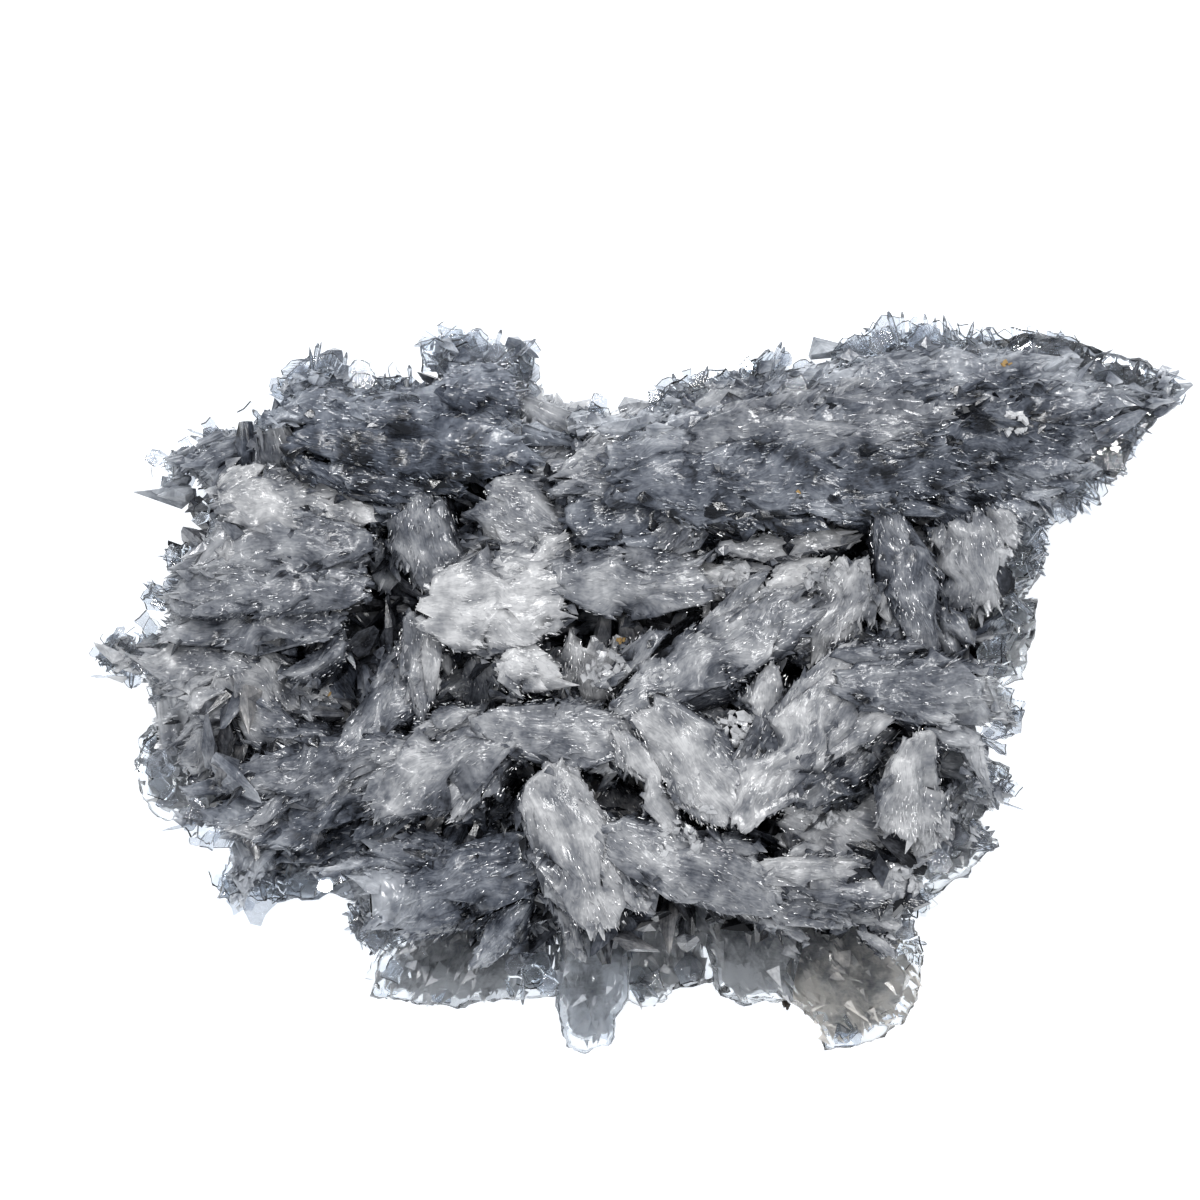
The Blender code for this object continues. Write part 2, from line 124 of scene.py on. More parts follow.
S = Shade
CRESTS = {
    Region.WING: (
        Crest("wing_spine", (-3.5, 29), (70.2, 37.7), 8, 37, 13, 24, 0, S.SMOKE),
        Crest("wing_upper", (2, 35.5), (51.5, 44.5), 7, 32, 6, 20, 12, S.SMOKE),
        Crest("wing_brow", (22.5, 40), (64, 41), 7, 33, 9, 20, 10, S.SMOKE),
        Crest("wing_middle", (6.5, 30.5), (43, 34.5), 7.5, 38, 5, 22, -4, S.ASH),
        Crest("wing_lower", (-2.5, 25), (46.5, 27.5), 8, 39, 8, 24, -10, S.SMOKE),
        Crest("wing_heel", (-5, 23), (11, 18), 5.5, 32, 5, 18, -12, S.SLATE),
        Crest("wing_fringe_high", (34, 31.5), (64, 30), 6.5, 34, 12, 18, -8, S.SMOKE),
        Crest("wing_fringe_low", (36, 28), (60.5, 24), 6.5, 32, 12, 18, -14, S.SMOKE),
        Crest("wing_fringe_south", (37, 24), (52.5, 16), 7, 30, 9, 18, -18, S.SMOKE),
        Crest("wing_spike", (50, 28), (62, 23), 2, 27, 5, 6, 0, S.SLATE),
        Crest("wing_shoulder", (-13, 27.5), (8, 37.5), 8.5, 30, 5, 20, 10, S.ASH),
        Crest("wing_root", (-10, 26), (12, 30.5), 9, 35, 1, 20, 0, S.ASH),
        Crest("wing_root_low", (-9, 21), (10, 24.5), 7.5, 34, 1, 20, -4, S.SMOKE),
        Crest("saddle_peak", (-8.5, 30), (-6, 36.5), 5, 25, 5, 14, 0, S.DOVE),
        Crest("under_wing_lath", (11, 18), (27, 19.5), 3.5, 32, 3, 15, 6, S.PEARL),
        Crest("notch_blade", (8, 21), (0, 16), 3.5, 35, 4, 16, 8, S.DOVE),
    ),
    Region.SLATE: (
        Crest("slate_crown", (-27, 43.5), (-12.5, 43.5), 5, 27, 4, 18, 12, S.SLATE),
        Crest("slate_high", (-30, 39), (-11, 37.5), 6, 32, 4, 20, 8, S.SLATE),
        Crest("slate_middle", (-47, 36.5), (-10.5, 33.5), 5.5, 34, 6, 22, 4, S.SLATE),
        Crest("slate_low", (-43, 31.5), (-11.5, 29), 6, 36, 6, 22, 0, S.SLATE),
        Crest("slate_brow", (-30.5, 40), (-48, 39.5), 5, 26, 5, 16, 12, S.SMOKE),
        Crest("slate_west", (-28, 35), (-49.5, 35), 5, 31, 6, 18, 6, S.SLATE),
        Crest("slate_root", (-39.5, 26.5), (-20, 26), 5.5, 34, 5, 18, -4, S.SMOKE),
        Crest("wedge", (-46.5, 31.5), (-63, 27.5), 6.5, 25, 8, 13, 14, S.SMOKE),
        Crest("wedge_under", (-46, 26), (-57, 24), 6, 23, 5, 13, -6, S.SMOKE),
        Crest("pleats", (-46.5, 33.5), (-43.5, 23), 6, 30, 5, 14, 0, S.ASH),
    ),
    Region.BOULDER: (
        Crest("boulder_cap", (-54, 23), (-34, 23), 6.5, 36, 4, 18, 10, S.PEARL),
        Crest("boulder_high", (-34, 18.5), (-60.5, 17), 6.5, 37, 7, 20, 4, S.ASH),
        Crest("boulder_middle", (-34.5, 13.5), (-63, 12), 6, 36, 8, 20, 0, S.ASH),
        Crest("boulder_low", (-36.5, 8), (-62.5, 7.5), 6, 33, 8, 18, -6, S.ASH),
        Crest("boulder_nose", (-49.5, 4), (-70, 3.5), 7.5, 28, 9, 16, -4, S.DOVE),
        Crest("boulder_chin", (-49, -1.5), (-66, -1), 5.5, 25, 8, 13, -12, S.ASH),
        Crest("pale_fan", (-51, 4.5), (-43, -6.5), 7, 28, 7, 16, 0, S.PEARL),
        Crest("dark_fan", (-41, 4.5), (-37.5, -4.5), 5.5, 22, 5, 12, 0, S.SLATE),
        Crest("left_leaf", (-50, -4), (-57, -11.5), 5.5, 23, 5, 11, 16, S.DOVE),
        Crest("fold_ridge", (-42, -8), (-51, -3.5), 5.5, 27, 4, 12, 0, S.DOVE),
    ),
    Region.LEFT: (
        Crest("furrow_ridge", (-38.5, -8.5), (-24.5, 4.5), 6, 31, 5, 16, 8, S.ASH),
        Crest("sole_ridge", (-26.5, -12), (-60, -19.5), 7, 29, 9, 18, -4, S.SMOKE),
        Crest("sole_upper", (-30, -7), (-54.5, -13.5), 6, 32, 8, 18, 4, S.ASH),
        Crest("sole_under", (-32.5, -19), (-51.5, -21), 4.5, 21, 5, 12, -8, S.SLATE),
        Crest("arch_west", (-16.5, -5), (-35, -15), 7.5, 37, 4, 18, -8, S.DOVE),
        Crest("arch_east", (-21.5, -5.5), (1.5, -7.5), 5.5, 38, 4, 16, -4, S.DOVE),
        Crest("twin_lath_west", (-28, 10), (-27, -5.5), 3, 33, 3, 18, 0, S.DOVE),
        Crest("twin_lath_east", (-25.5, 9.5), (-26, -2), 2.5, 34, 3, 18, 0, S.PEARL),
        Crest("hollow_lath", (-20, -15.5), (-12, -15.5), 2.5, 27, 2, 10, 0, S.SMOKE),
        Crest("hollow_floor_west", (-21.5, -12), (-22, -22), 5, 24, 3, 10, 0, S.COAL),
        Crest("hollow_floor_east", (-5, -12), (2, -22), 7, 26, 3, 12, 0, S.UMBER),
        Crest("hollow_blue", (6, -16), (10.5, -25), 5.5, 25, 3, 12, 0, S.SLATE),
        Crest("arch_needles", (0, -8.5), (-7, -10.5), 2.5, 34, 2, 12, 0, S.DOVE),
    ),
    Region.MIDDLE: (
        Crest("centre_table", (-27, 10), (-8.5, 9.5), 11, 38, 3, 20, -6, S.SNOW),
        Crest("centre_rise", (-20.5, 23), (-4, 17.5), 10, 33, 4, 18, 0, S.DOVE),
        Crest("centre_east", (-10.5, 13), (8.5, 12), 6.5, 36, 4, 18, -6, S.DOVE),
        Crest("centre_pleats", (-28, 24), (-27.5, 12), 7.5, 31, 4, 16, 0, S.ASH),
        Crest("recess_west", (-19, 4.5), (-17.5, -3), 7, 27, 4, 14, 0, S.ASH),
        Crest("recess_east", (-6.5, 6), (-6.5, -4), 7.5, 30, 5, 16, 0, S.PEARL),
        Crest("slant_upper", (-2.5, -2), (23, 11.5), 7, 36, 3, 18, 12, S.DOVE),
        Crest("snow_druse_west", (8, 13), (17, 13.5), 6, 30, 3, 14, 0, S.SNOW),
        Crest("snow_druse_east", (17.5, 12.5), (26, 14), 6, 31, 3, 14, 0, S.SNOW),
    ),
    Region.RIGHT: (
        Crest("slant_main", (13, -17.5), (27.5, 4.5), 8, 38, 3, 20, -8, S.PEARL),
        Crest("pillar", (28, 16), (23, 2.5), 6.5, 34, 4, 18, 0, S.PEARL),
        Crest("drape_west", (31.5, 23), (38, 3), 6.5, 34, 5, 18, 0, S.ASH),
        Crest("drape_east", (41, 22), (44.5, 9), 8.5, 31, 5, 16, 0, S.DOVE),
        Crest("recess_north", (30.5, 10), (33, 3.5), 6.5, 26, 3, 12, 0, S.PEARL),
        Crest("eastern_sweep", (25, 0.5), (50, -2), 7, 38, 10, 18, -4, S.ASH),
        Crest("keystone", (1, -3.5), (12.5, -17.5), 8, 39, 3, 20, -10, S.PEARL),
        Crest("druse_pit", (6.5, -2), (14.5, -12.5), 7.5, 29, 3, 16, 0, S.DOVE),
        Crest("under_sweep", (20, -15), (31.5, -4.5), 6, 31, 3, 16, 10, S.ASH),
        Crest("column", (35.5, -6), (33, -20.5), 6.5, 34, 5, 18, 0, S.PEARL),
        Crest("pearl_block", (18.5, -16), (32.5, -18), 8.5, 28, 3, 14, 0, S.PEARL),
        Crest("east_recess", (33, -7), (47, -9), 6, 27, 5, 13, 0, S.ASH),
        Crest("east_shelf", (33.5, -11), (48.5, -14), 8, 23, 6, 12, 4, S.ASH),
        Crest("east_shelf_low", (32.5, -19), (46, -21), 7.5, 20, 5, 11, -4, S.DOVE),
        Crest("lower_stack_high", (14.5, -23), (30, -23.5), 4.5, 32, 4, 14, 6, S.PEARL),
        Crest("lower_stack_middle", (20, -25), (38, -26), 4.5, 30, 5, 14, 0, S.DOVE),
        Crest("lower_stack_low", (14, -28), (38.5, -28.5), 4.5, 28, 6, 14, -8, S.DOVE),
    ),
    Region.FOOT: (
        Crest("spur", (-12.5, -10), (-3.5, -31), 7, 38, 5, 20, 6, S.PEARL),
        Crest("spur_twin", (-12, -21), (-6.5, -31.5), 4.5, 34, 6, 16, -6, S.DOVE),
        Crest("dagger", (-4.5, -18.5), (17.5, -29.5), 7, 36, 6, 18, -8, S.DOVE),
        Crest("broad_oar", (-12, -20.5), (-36.5, -30.5), 8, 31, 8, 18, -6, S.SMOKE),
        Crest("oar_inner", (-29, -22.5), (-38, -24), 5.5, 21, 4, 11, 0, S.SMOKE),
        Crest("spur_foot", (-13.5, -27.5), (-9, -31.5), 5.5, 22, 3, 10, 0, S.ASH),
    ),
}


# ---------------- Small crystals, repeated as arrays


class Stock:
    """A closed crystal shape in millimetres or in unit size, shaped with bmesh operators and kept as arrays."""

    def __init__(self, shape: BMesh) -> None:
        """Keeps the shape's points and faces and frees it.

        Args:
            shape: the shape.
        """
        bmesh.ops.recalc_face_normals(shape, faces=shape.faces)
        shape.verts.index_update()
        self.points = np.array([(*vertex.co, 1) for vertex in shape.verts])
        self.corners = np.array([vertex.index for face in shape.faces for vertex in face.verts])
        self.sides = np.array([len(face.verts) for face in shape.faces])
        self.way = self.points[:, :2]
        shape.free()

    @property
    def quads(self) -> np.ndarray:
        """The point numbers of each four-sided face, of shape (n, 4)."""
        starts = np.concatenate(([0], np.cumsum(self.sides)[:-1]))
        return self.corners[starts[self.sides == 4][:, None] + np.arange(4)]

    def face_outwards(self) -> None:
        """Turns the faces round where they enclose a negative volume."""
        first, second, third, _ = self.points[self.quads][..., :3].transpose(1, 0, 2)
        middle = self.points[:, :3].mean(0)
        volume = np.einsum("ni,ni->n", first - middle, np.cross(second - middle, third - middle)).sum()
        if volume < 0:
            ends = np.cumsum(self.sides)
            starts = np.concatenate(([0], ends[:-1]))
            inside = np.arange(len(self.corners)) - np.repeat(starts, self.sides)
            self.corners = self.corners[np.repeat(ends, self.sides) - 1 - inside]


def dressed(name: str, mesh: Mesh, tones: np.ndarray, warmths: np.ndarray) -> Object:
    """Makes a mesh an object of the scene, with a tone and a warmth at each point.

    Args:
        name: the object's name.
        mesh: the mesh.
        tones: the tones.
        warmths: the warmths.

    Returns:
        The object.
    """
    for label, values in (("tone", tones), ("warmth", warmths)):
        layer = mesh.attributes.new(label, "FLOAT", "POINT")
        layer.data.foreach_set("value", values)
    made = bpy.data.objects.new(name, mesh)
    bpy.context.scene.collection.objects.link(made)
    return made


class Heap:
    """Copies of crystals that become one joined mesh, each with a tone and a warmth of its own."""

    def __init__(self) -> None:
        """Starts empty."""
        self.points: list[np.ndarray] = []
        self.corners: list[np.ndarray] = []
        self.sides: list[np.ndarray] = []
        self.tones: list[np.ndarray] = []
        self.warmths: list[np.ndarray] = []
        self.growth: list[np.ndarray] = []
        self.count = 0

    def add(self, stock: Stock, places: np.ndarray, tones: np.ndarray, warmths: np.ndarray) -> None:
        """Adds copies of a crystal.

        Args:
            stock: the crystal.
            places: its matrices in millimetres, of shape (n, 4, 4).
            tones: one tone for each copy, or one for each point of each copy.
            warmths: one warmth for each copy.
        """
        copies, size = len(places), len(stock.points)
        points = np.einsum("nij,pj->npi", places, stock.points)[..., :3]
        starts = self.count + np.arange(copies) * size
        stretch = np.linalg.norm(places[:, :3, :2], axis=1)
        along = stock.way[None] * stretch[:, None] + places[:, None, :2, 3] * GROWTH_SHIFT
        self.points.append(points.reshape(-1, 3))
        self.corners.append((stock.corners[None, :] + starts[:, None]).ravel())
        self.sides.append(np.tile(stock.sides, copies))
        self.tones.append(tones.ravel() if tones.size == copies * size else np.repeat(tones, size))
        self.warmths.append(np.repeat(warmths, size))
        self.growth.append(along.reshape(-1, 2))
        self.count += copies * size

    def scatter(
        self, stocks: list[Stock], picks: np.ndarray, places: np.ndarray, tones: np.ndarray, warmths: np.ndarray,
        shading: tuple = (0.0, 0.0),
    ) -> None:
        """Adds a copy of one of several crystals at each place.

        Args:
            stocks: the crystals.
            picks: number of the crystal at each place.
            places: the matrices in millimetres, of shape (n, 4, 4).
            tones: one tone for each copy.
            warmths: one warmth for each copy.
            shading: painted shade and light, as the rise of the tone along each one and up each one.
        """
        for number, stock in enumerate(stocks):
            chosen = picks == number
            rise = shading[0] * stock.points[:, 0] + shading[1] * (stock.points[:, 2] + BACK_SHARE)
            self.add(stock, places[chosen], tones[chosen, None] + rise, warmths[chosen])

    def joined(self, name: str, smooth: bool) -> Object:
        """Makes the heap one mesh object, in metres.

        Args:
            name: the object's name.
            smooth: whether light runs softly over its edges.

        Returns:
            The object, linked to the scene.
        """
        corners = np.concatenate(self.corners)
        sides = np.concatenate(self.sides)
        mesh = bpy.data.meshes.new(name)
        mesh.vertices.add(self.count)
        points = np.concatenate(self.points)
        points[:, 2] = np.interp(points[:, 2], GROWN_HEIGHTS, KEPT_HEIGHTS)
        mesh.vertices.foreach_set("co", points.ravel() * MM)
        mesh.loops.add(len(corners))
        mesh.loops.foreach_set("vertex_index", corners)
        mesh.polygons.add(len(sides))
        mesh.polygons.foreach_set("loop_start", np.concatenate(([0], np.cumsum(sides)[:-1])))
        mesh.polygons.foreach_set("loop_total", sides)
        made = dressed(name, mesh, np.concatenate(self.tones), np.concatenate(self.warmths))
        way = mesh.uv_layers.new(name="growth")
        way.data.foreach_set("uv", np.concatenate(self.growth)[corners].ravel())
        mesh.update(calc_edges=True)
        mesh.validate()
        if smooth:
            mesh.shade_smooth()
        else:
            mesh.shade_flat()
        return made


BACK_SHARE = 0.25  # of a crystal's height that is darker than its tone, as painted shade under its paler back
GROWN_HEIGHTS = (-5.0, 0.0, 35.0, 45.0)  # the flat base and the evenly high crowns press the crystals' heights
KEPT_HEIGHTS = (0.0, 0.0, 35.0, 40.5)  # from the first heights to these, in millimetres
GROWTH_SHIFT = 3.7  # sets the growth lines of neighbouring crystals apart


def extruded(shape: BMesh, faces: list) -> tuple[list, BMFace]:
    """Extrudes faces in place.

    Args:
        shape: what they belong to.
        faces: the faces.

    Returns:
        The new points and the first new face.
    """
    grown = bmesh.ops.extrude_face_region(shape, geom=faces)["geom"]
    points = [part for part in grown if isinstance(part, BMVert)]
    return points, next(part for part in grown if isinstance(part, BMFace))


def grown_rod(segments: int, root: float, steps: tuple) -> BMesh:
    """A rod that grows ring by ring along X, its section one across before it is drawn in.

    Args:
        segments: points in its section, the first of them on top.
        root: size of the first ring, over the widest.
        steps: (length, growth over the ring before) for each further ring.

    Returns:
        The rod, with X from -0.4 to 0.6 where the lengths add up to one, and its back at Z 0.
    """
    shape = bmesh.new()
    upright = Matrix.Translation((-0.4, 0, 0)) @ Matrix.Rotation(-math.pi / 2, 4, "Y")
    bmesh.ops.create_circle(shape, cap_ends=True, segments=segments, radius=0.5 * root, matrix=upright)
    face = shape.faces[:][0]
    for length, growth in steps:
        ring, face = extruded(shape, [face])
        bmesh.ops.translate(shape, vec=(length, 0, 0), verts=ring)
        bmesh.ops.scale(shape, vec=(1, growth, growth), verts=ring)
    bmesh.ops.remove_doubles(shape, verts=shape.verts, dist=0.02)
    bmesh.ops.translate(shape, vec=(0, 0, -0.5), verts=shape.verts)
    return shape


def plume() -> Stock:
    """A pointed blade with a sharp back."""
    return Stock(grown_rod(4, 0.4, ((0.3, 2.3), (0.45, 0.7), (0.25, 0.01))))


def spade() -> Stock:
    """A blade that is widest near its blunt end."""
    return Stock(grown_rod(4, 0.4, ((0.45, 2.2), (0.4, 1.1), (0.15, 0.35))))


def feather(seed: int) -> Stock:
    """Blades grown together side by side, with a rounded back, a ragged tip and a keel.

    Args:
        seed: picks how far each blade reaches.

    Returns:
        The bundle, one long, wide and high. It points along X, and its back is highest at Z 0.
    """
    source = random.Random(seed)
    shape = bmesh.new()
    bmesh.ops.create_grid(shape, x_segments=2, y_segments=3, size=0.5)
    reach = [source.uniform(*span) for span in ((0.5, 0.85), (0.85, 1.05), (0.75, 1.05), (0.45, 0.85))]
    lift = [source.uniform(-0.10, 0.10) for _ in reach]
    for vertex in shape.verts:
        row, run = round((vertex.co.y + 0.5) * 3), vertex.co.x + 0.5
        fall = 0.35 * (2 * abs(vertex.co.y)) ** 2 + 0.5 * max(0, run - 0.6) ** 1.5 + 0.5 * max(0, 0.3 - run)
        vertex.co.z = -fall + lift[row] * (1 if run < 0.9 else 2) + source.uniform(-0.04, 0.04)
        vertex.co.y *= (0.6, 1.0, 0.4)[round(run * 2)]
        vertex.co.x = -0.4 + run * reach[row]
    rim = [edge for edge in shape.edges if edge.is_boundary]
    below = bmesh.ops.holes_fill(shape, edges=rim, sides=0)["faces"]
    keel = bmesh.ops.poke(shape, faces=below)["verts"]
    bmesh.ops.translate(shape, vec=(-0.15, 0, -0.8), verts=keel)
    return Stock(shape)


def sliver() -> Stock:
    """A needle with a flat top that narrows to its tip, keeled below.

    Returns:
        The needle, one long, wide and high, with its top at Z 0.
    """
    shape = bmesh.new()
    laid = Matrix.Translation((0, 0, -0.5)) @ Matrix.Rotation(-math.pi / 2, 4, "Z")
    bmesh.ops.create_cone(shape, cap_ends=True, segments=3, radius1=0, radius2=0.6, depth=1, matrix=laid)
    bmesh.ops.remove_doubles(shape, verts=shape.verts, dist=0.001)
    return Stock(shape)


def tablet() -> Stock:
    """A thin flat crystal with bevelled ends, lying on its broad face.

    Returns:
        The crystal, one long, wide and high, with its top at Z 0.
    """
    shape = bmesh.new()
    laid = Matrix.Translation((0.1, 0, -0.5))
    bmesh.ops.create_cone(shape, cap_ends=True, segments=4, radius1=0.62, radius2=0.5, depth=1, matrix=laid)
    return Stock(shape)


def flake(seed: int, sides: int) -> Stock:
    """A thin flat crystal with a ragged round outline, one across and one thick.

    Args:
        seed: picks the outline.
        sides: how many points the outline has.

    Returns:
        The crystal, with its growing edge towards +X.
    """
    source = random.Random(seed)
    shape = bmesh.new()
    bmesh.ops.create_circle(shape, cap_ends=True, segments=sides, radius=0.5)
    for vertex in shape.verts:
        vertex.co.xy *= source.uniform(0.55, 1.15)
    upper, _ = extruded(shape, shape.faces[:])
    bmesh.ops.translate(shape, vec=(0.1, 0, 1), verts=upper)
    bmesh.ops.scale(shape, vec=(0.88, 0.88, 1), verts=upper)
    bmesh.ops.translate(shape, vec=(0, 0, -0.5), verts=shape.verts)
    return Stock(shape)


class Skin:
    """The outer faces of a body, which finer crystals are set on."""

    def __init__(self, body: Stock, depth: np.ndarray) -> None:
        """Measures the faces.

        Args:
            body: the body, in millimetres.
            depth: how far each of its points lies below its ridge.
        """
        corners = body.points[body.quads][..., :3]
        self.corners = corners
        cross = np.cross(corners[:, 2] - corners[:, 0], corners[:, 3] - corners[:, 1])
        self.area = np.linalg.norm(cross, axis=1) / 2
        self.normal = cross / (2 * self.area[:, None] + 1e-9)
        self.depth = depth[body.quads].mean(1)

    def spots(self, density: float, edge: float, fade: float, clump: float, draw: np.random.Generator) -> tuple:
        """Picks places on the faces.

        Args:
            density: how many for each square millimetre along the ridge.
            edge: how many more there are at its sides, over the density.
            fade: the depth over which they thin out by two thirds.
            clump: how strongly they gather in clusters.
            draw: the random numbers.

        Returns:
            The places, the way each face looks, and how deep each lies.
        """
        weight = self.area * np.exp(-self.depth.clip(0) / fade) * (1 + edge * ((self.depth - 0.6) / 1.5).clip(0, 1))
        if clump:
            middles = self.corners.mean(1)
            crowd = np.array([noise.noise(Vector(middle) * CLUMP_RUN) for middle in middles])
            weight = weight * (0.5 + 2.2 * crowd).clip(0.06, 2) ** clump
        count = int(density * weight.sum())
        face = draw.choice(len(weight), count, p=weight / weight.sum())
        u, v = draw.random((2, count, 1))
        a, b, c, d = self.corners[face].transpose(1, 0, 2)
        points = (a * (1 - u) + b * u) * (1 - v) + (d * (1 - u) + c * u) * v
        return points, self.normal[face], self.depth[face]


CLUMP_RUN = 0.22  # how often clusters follow one another, for each millimetre


def unit(vectors: np.ndarray) -> np.ndarray:
    """The vectors at length one."""
    return vectors / (np.linalg.norm(vectors, axis=1)[:, None] + 1e-9)


def spread(draw: np.random.Generator, count: int, *spans: tuple) -> np.ndarray:
    """Draws the same number of values from each of several spans, as columns."""
    return np.stack([draw.uniform(*span, count) for span in spans], 1)


def stood(points: np.ndarray, along: np.ndarray, up: np.ndarray, sizes: np.ndarray) -> np.ndarray:
    """Places crystals by the way they point.

    Args:
        points: where each one's root end is.
        along: the way each one grows.
        up: roughly which way each one's back faces.
        sizes: (length, thickness, height) of each.

    Returns:
        Matrices of shape (n, 4, 4), with the backs as upright as the growth lets them be.
    """
    forward = unit(along)
    across = unit(np.cross(up, forward))
    made = np.zeros((len(points), 4, 4))
    made[:, :3, 0] = forward * sizes[:, :1]
    made[:, :3, 1] = across * sizes[:, 1:2]
    made[:, :3, 2] = np.cross(forward, across) * sizes[:, 2:]
    made[:, :3, 3] = points
    made[:, 3, 3] = 1
    return made


# ---------------- Finishes


class Nodes:
    """Writes a node tree: adds a node with its settings and links sockets by name."""

    def __init__(self, tree: NodeTree) -> None:
        """Takes over a tree."""
        self.tree = tree

    def add(self, kind: str, inputs: dict | None = None, **settings: object) -> Node:
        """Adds a node.

        Args:
            kind: the node's type.
            inputs: a value, or a socket to link from, for each input's name, number or identifier.
            settings: the node's own properties.

        Returns:
            The node.
        """
        node = self.tree.nodes.new(kind)
        for label, value in settings.items():
            setattr(node, label, value)
        self.feed(node, inputs or {})
        return node

    def feed(self, node: Node, inputs: dict) -> None:
        """Sets or links inputs of a node.

        Args:
            node: the node.
            inputs: a value, or a socket to link from, for each input's name, number or identifier.
        """
        for label, value in inputs.items():
            named = [item for item in node.inputs if label in (item.name, item.identifier)]
            socket = node.inputs[label] if isinstance(label, int) else named[-1]
            if isinstance(value, NodeSocket):
                self.tree.links.new(value, socket)
            else:
                socket.default_value = value

    def maths(self, operation: str, *values: object) -> NodeSocket:
        """Adds a Math node for values or sockets, and returns its result."""
        return self.add("ShaderNodeMath", dict(enumerate(values)), operation=operation).outputs[0]

    def noise(self, place: NodeSocket, stretch: tuple, detail: float, grit: float) -> NodeSocket:
        """Adds a noise, from 0 to 1.

        Args:
            place: the coordinates.
            stretch: how many times the noise changes over one unit of each coordinate.
            detail: how many finer layers it has.
            grit: how strong each finer layer is, over the one before.

        Returns:
            The noise's value.
        """
        mapped = self.add("ShaderNodeMapping", {"Vector": place, "Scale": stretch})
        inputs = {"Vector": mapped.outputs[0], "Scale": 1.0, "Detail": detail, "Roughness": grit}
        made = self.add("ShaderNodeTexNoise", inputs)
        return made.outputs["Fac"]

    def mixed(self, blend: str, share: object, first: object, second: object) -> NodeSocket:
        """Mixes two colours.

        Args:
            blend: how they are mixed.
            share: how much of the second colour.
            first: the first colour.
            second: the second colour.

        Returns:
            The mixed colour.
        """
        inputs = {"Factor_Float": share, "A_Color": first, "B_Color": second}
        made = self.add("ShaderNodeMix", inputs, data_type="RGBA", blend_type=blend)
        return next(item for item in made.outputs if item.identifier == "Result_Color")


def new_group(name: str, inputs: dict, outputs: dict) -> tuple:
    """Starts a shader node group.

    Args:
        name: the group's name.
        inputs: socket type for each input's name.
        outputs: socket type for each output's name.

    Returns:
        The group, a writer for its nodes, and its input and output nodes.
    """
    group = bpy.data.node_groups.new(name, "ShaderNodeTree")
    for label, kind in inputs.items():
        group.interface.new_socket(label, in_out="INPUT", socket_type=kind)
    for label, kind in outputs.items():
        group.interface.new_socket(label, in_out="OUTPUT", socket_type=kind)
    nodes = Nodes(group)
    return group, nodes, nodes.add("NodeGroupInput"), nodes.add("NodeGroupOutput")


def new_material(name: str) -> tuple[Material, Nodes, Node]:
    """Starts a material.

    Args:
        name: the material's name.

    Returns:
        The material, a writer for its nodes, and its shader.
    """
    made = bpy.data.materials.new(name)
    made.use_nodes = True
    return made, Nodes(made.node_tree), made.node_tree.nodes["Principled BSDF"]


VALUE, COLOUR, VECTOR = "NodeSocketFloat", "NodeSocketColor", "NodeSocketVector"
BARITE_IOR = 1.64
CLOUD_RUN = (190, 190, 190)  # how often clouds follow one another, for each metre
HAZE_RUN = (700, 700, 700)  # the same of the haze in clear barite
LINE_RUN = (0.8, 4.0, 1)  # how often growth lines do along and across a crystal, for each millimetre
LINE_HEIGHT = 0.04 * MM
PURE = (0.97, 0.985, 1.0, 1)
COOL = (0.90, 0.97, 1.07, 1)
WARM = (1.05, 1.0, 0.93, 1)
MILK_STOPS = (
    (0.00, (0.010, 0.011, 0.014, 1)),
    (0.12, (0.035, 0.038, 0.047, 1)),
    (0.30, (0.12, 0.13, 0.155, 1)),
    (0.50, (0.28, 0.29, 0.315, 1)),
    (0.72, (0.52, 0.525, 0.54, 1)),
    (1.00, (0.90, 0.90, 0.905, 1)),
)


def cloud_group() -> NodeTree:
    """Milky clouds and growth lines in a crystal.

    Returns:
        A group with inputs Tone, Warmth, Cloud, Streak, Place and Way, and outputs Colour and Relief.
    """
    group, nodes, given, result = new_group(
        "crystal_clouds",
        {"Tone": VALUE, "Warmth": VALUE, "Cloud": VALUE, "Streak": VALUE, "Place": VECTOR, "Way": VECTOR},
        {"Colour": COLOUR, "Relief": VALUE},
    )
    place, way = given.outputs["Place"], given.outputs["Way"]
    patches = nodes.noise(place, CLOUD_RUN, 4.0, 0.68)
    lines = nodes.noise(way, LINE_RUN, 2.0, 0.6)
    centred = nodes.maths("SUBTRACT", patches, 0.5)
    drift = nodes.maths("MULTIPLY", centred, given.outputs["Cloud"])
    streaks = nodes.maths("MULTIPLY", nodes.maths("SUBTRACT", lines, 0.5), given.outputs["Streak"])
    tone = nodes.maths("ADD", given.outputs["Tone"], nodes.maths("ADD", drift, streaks))
    ramp = nodes.add("ShaderNodeValToRGB", {"Fac": tone})
    stops = ramp.color_ramp.elements
    stops[0].position, stops[0].color = MILK_STOPS[0]
    stops[1].position, stops[1].color = MILK_STOPS[-1]
    for position, colour in MILK_STOPS[1:-1]:
        stops.new(position).color = colour
    tint = nodes.mixed("MIX", given.outputs["Warmth"], COOL, WARM)
    nodes.feed(result, {"Colour": nodes.mixed("MULTIPLY", 1.0, ramp.outputs["Color"], tint), "Relief": lines})
    return group


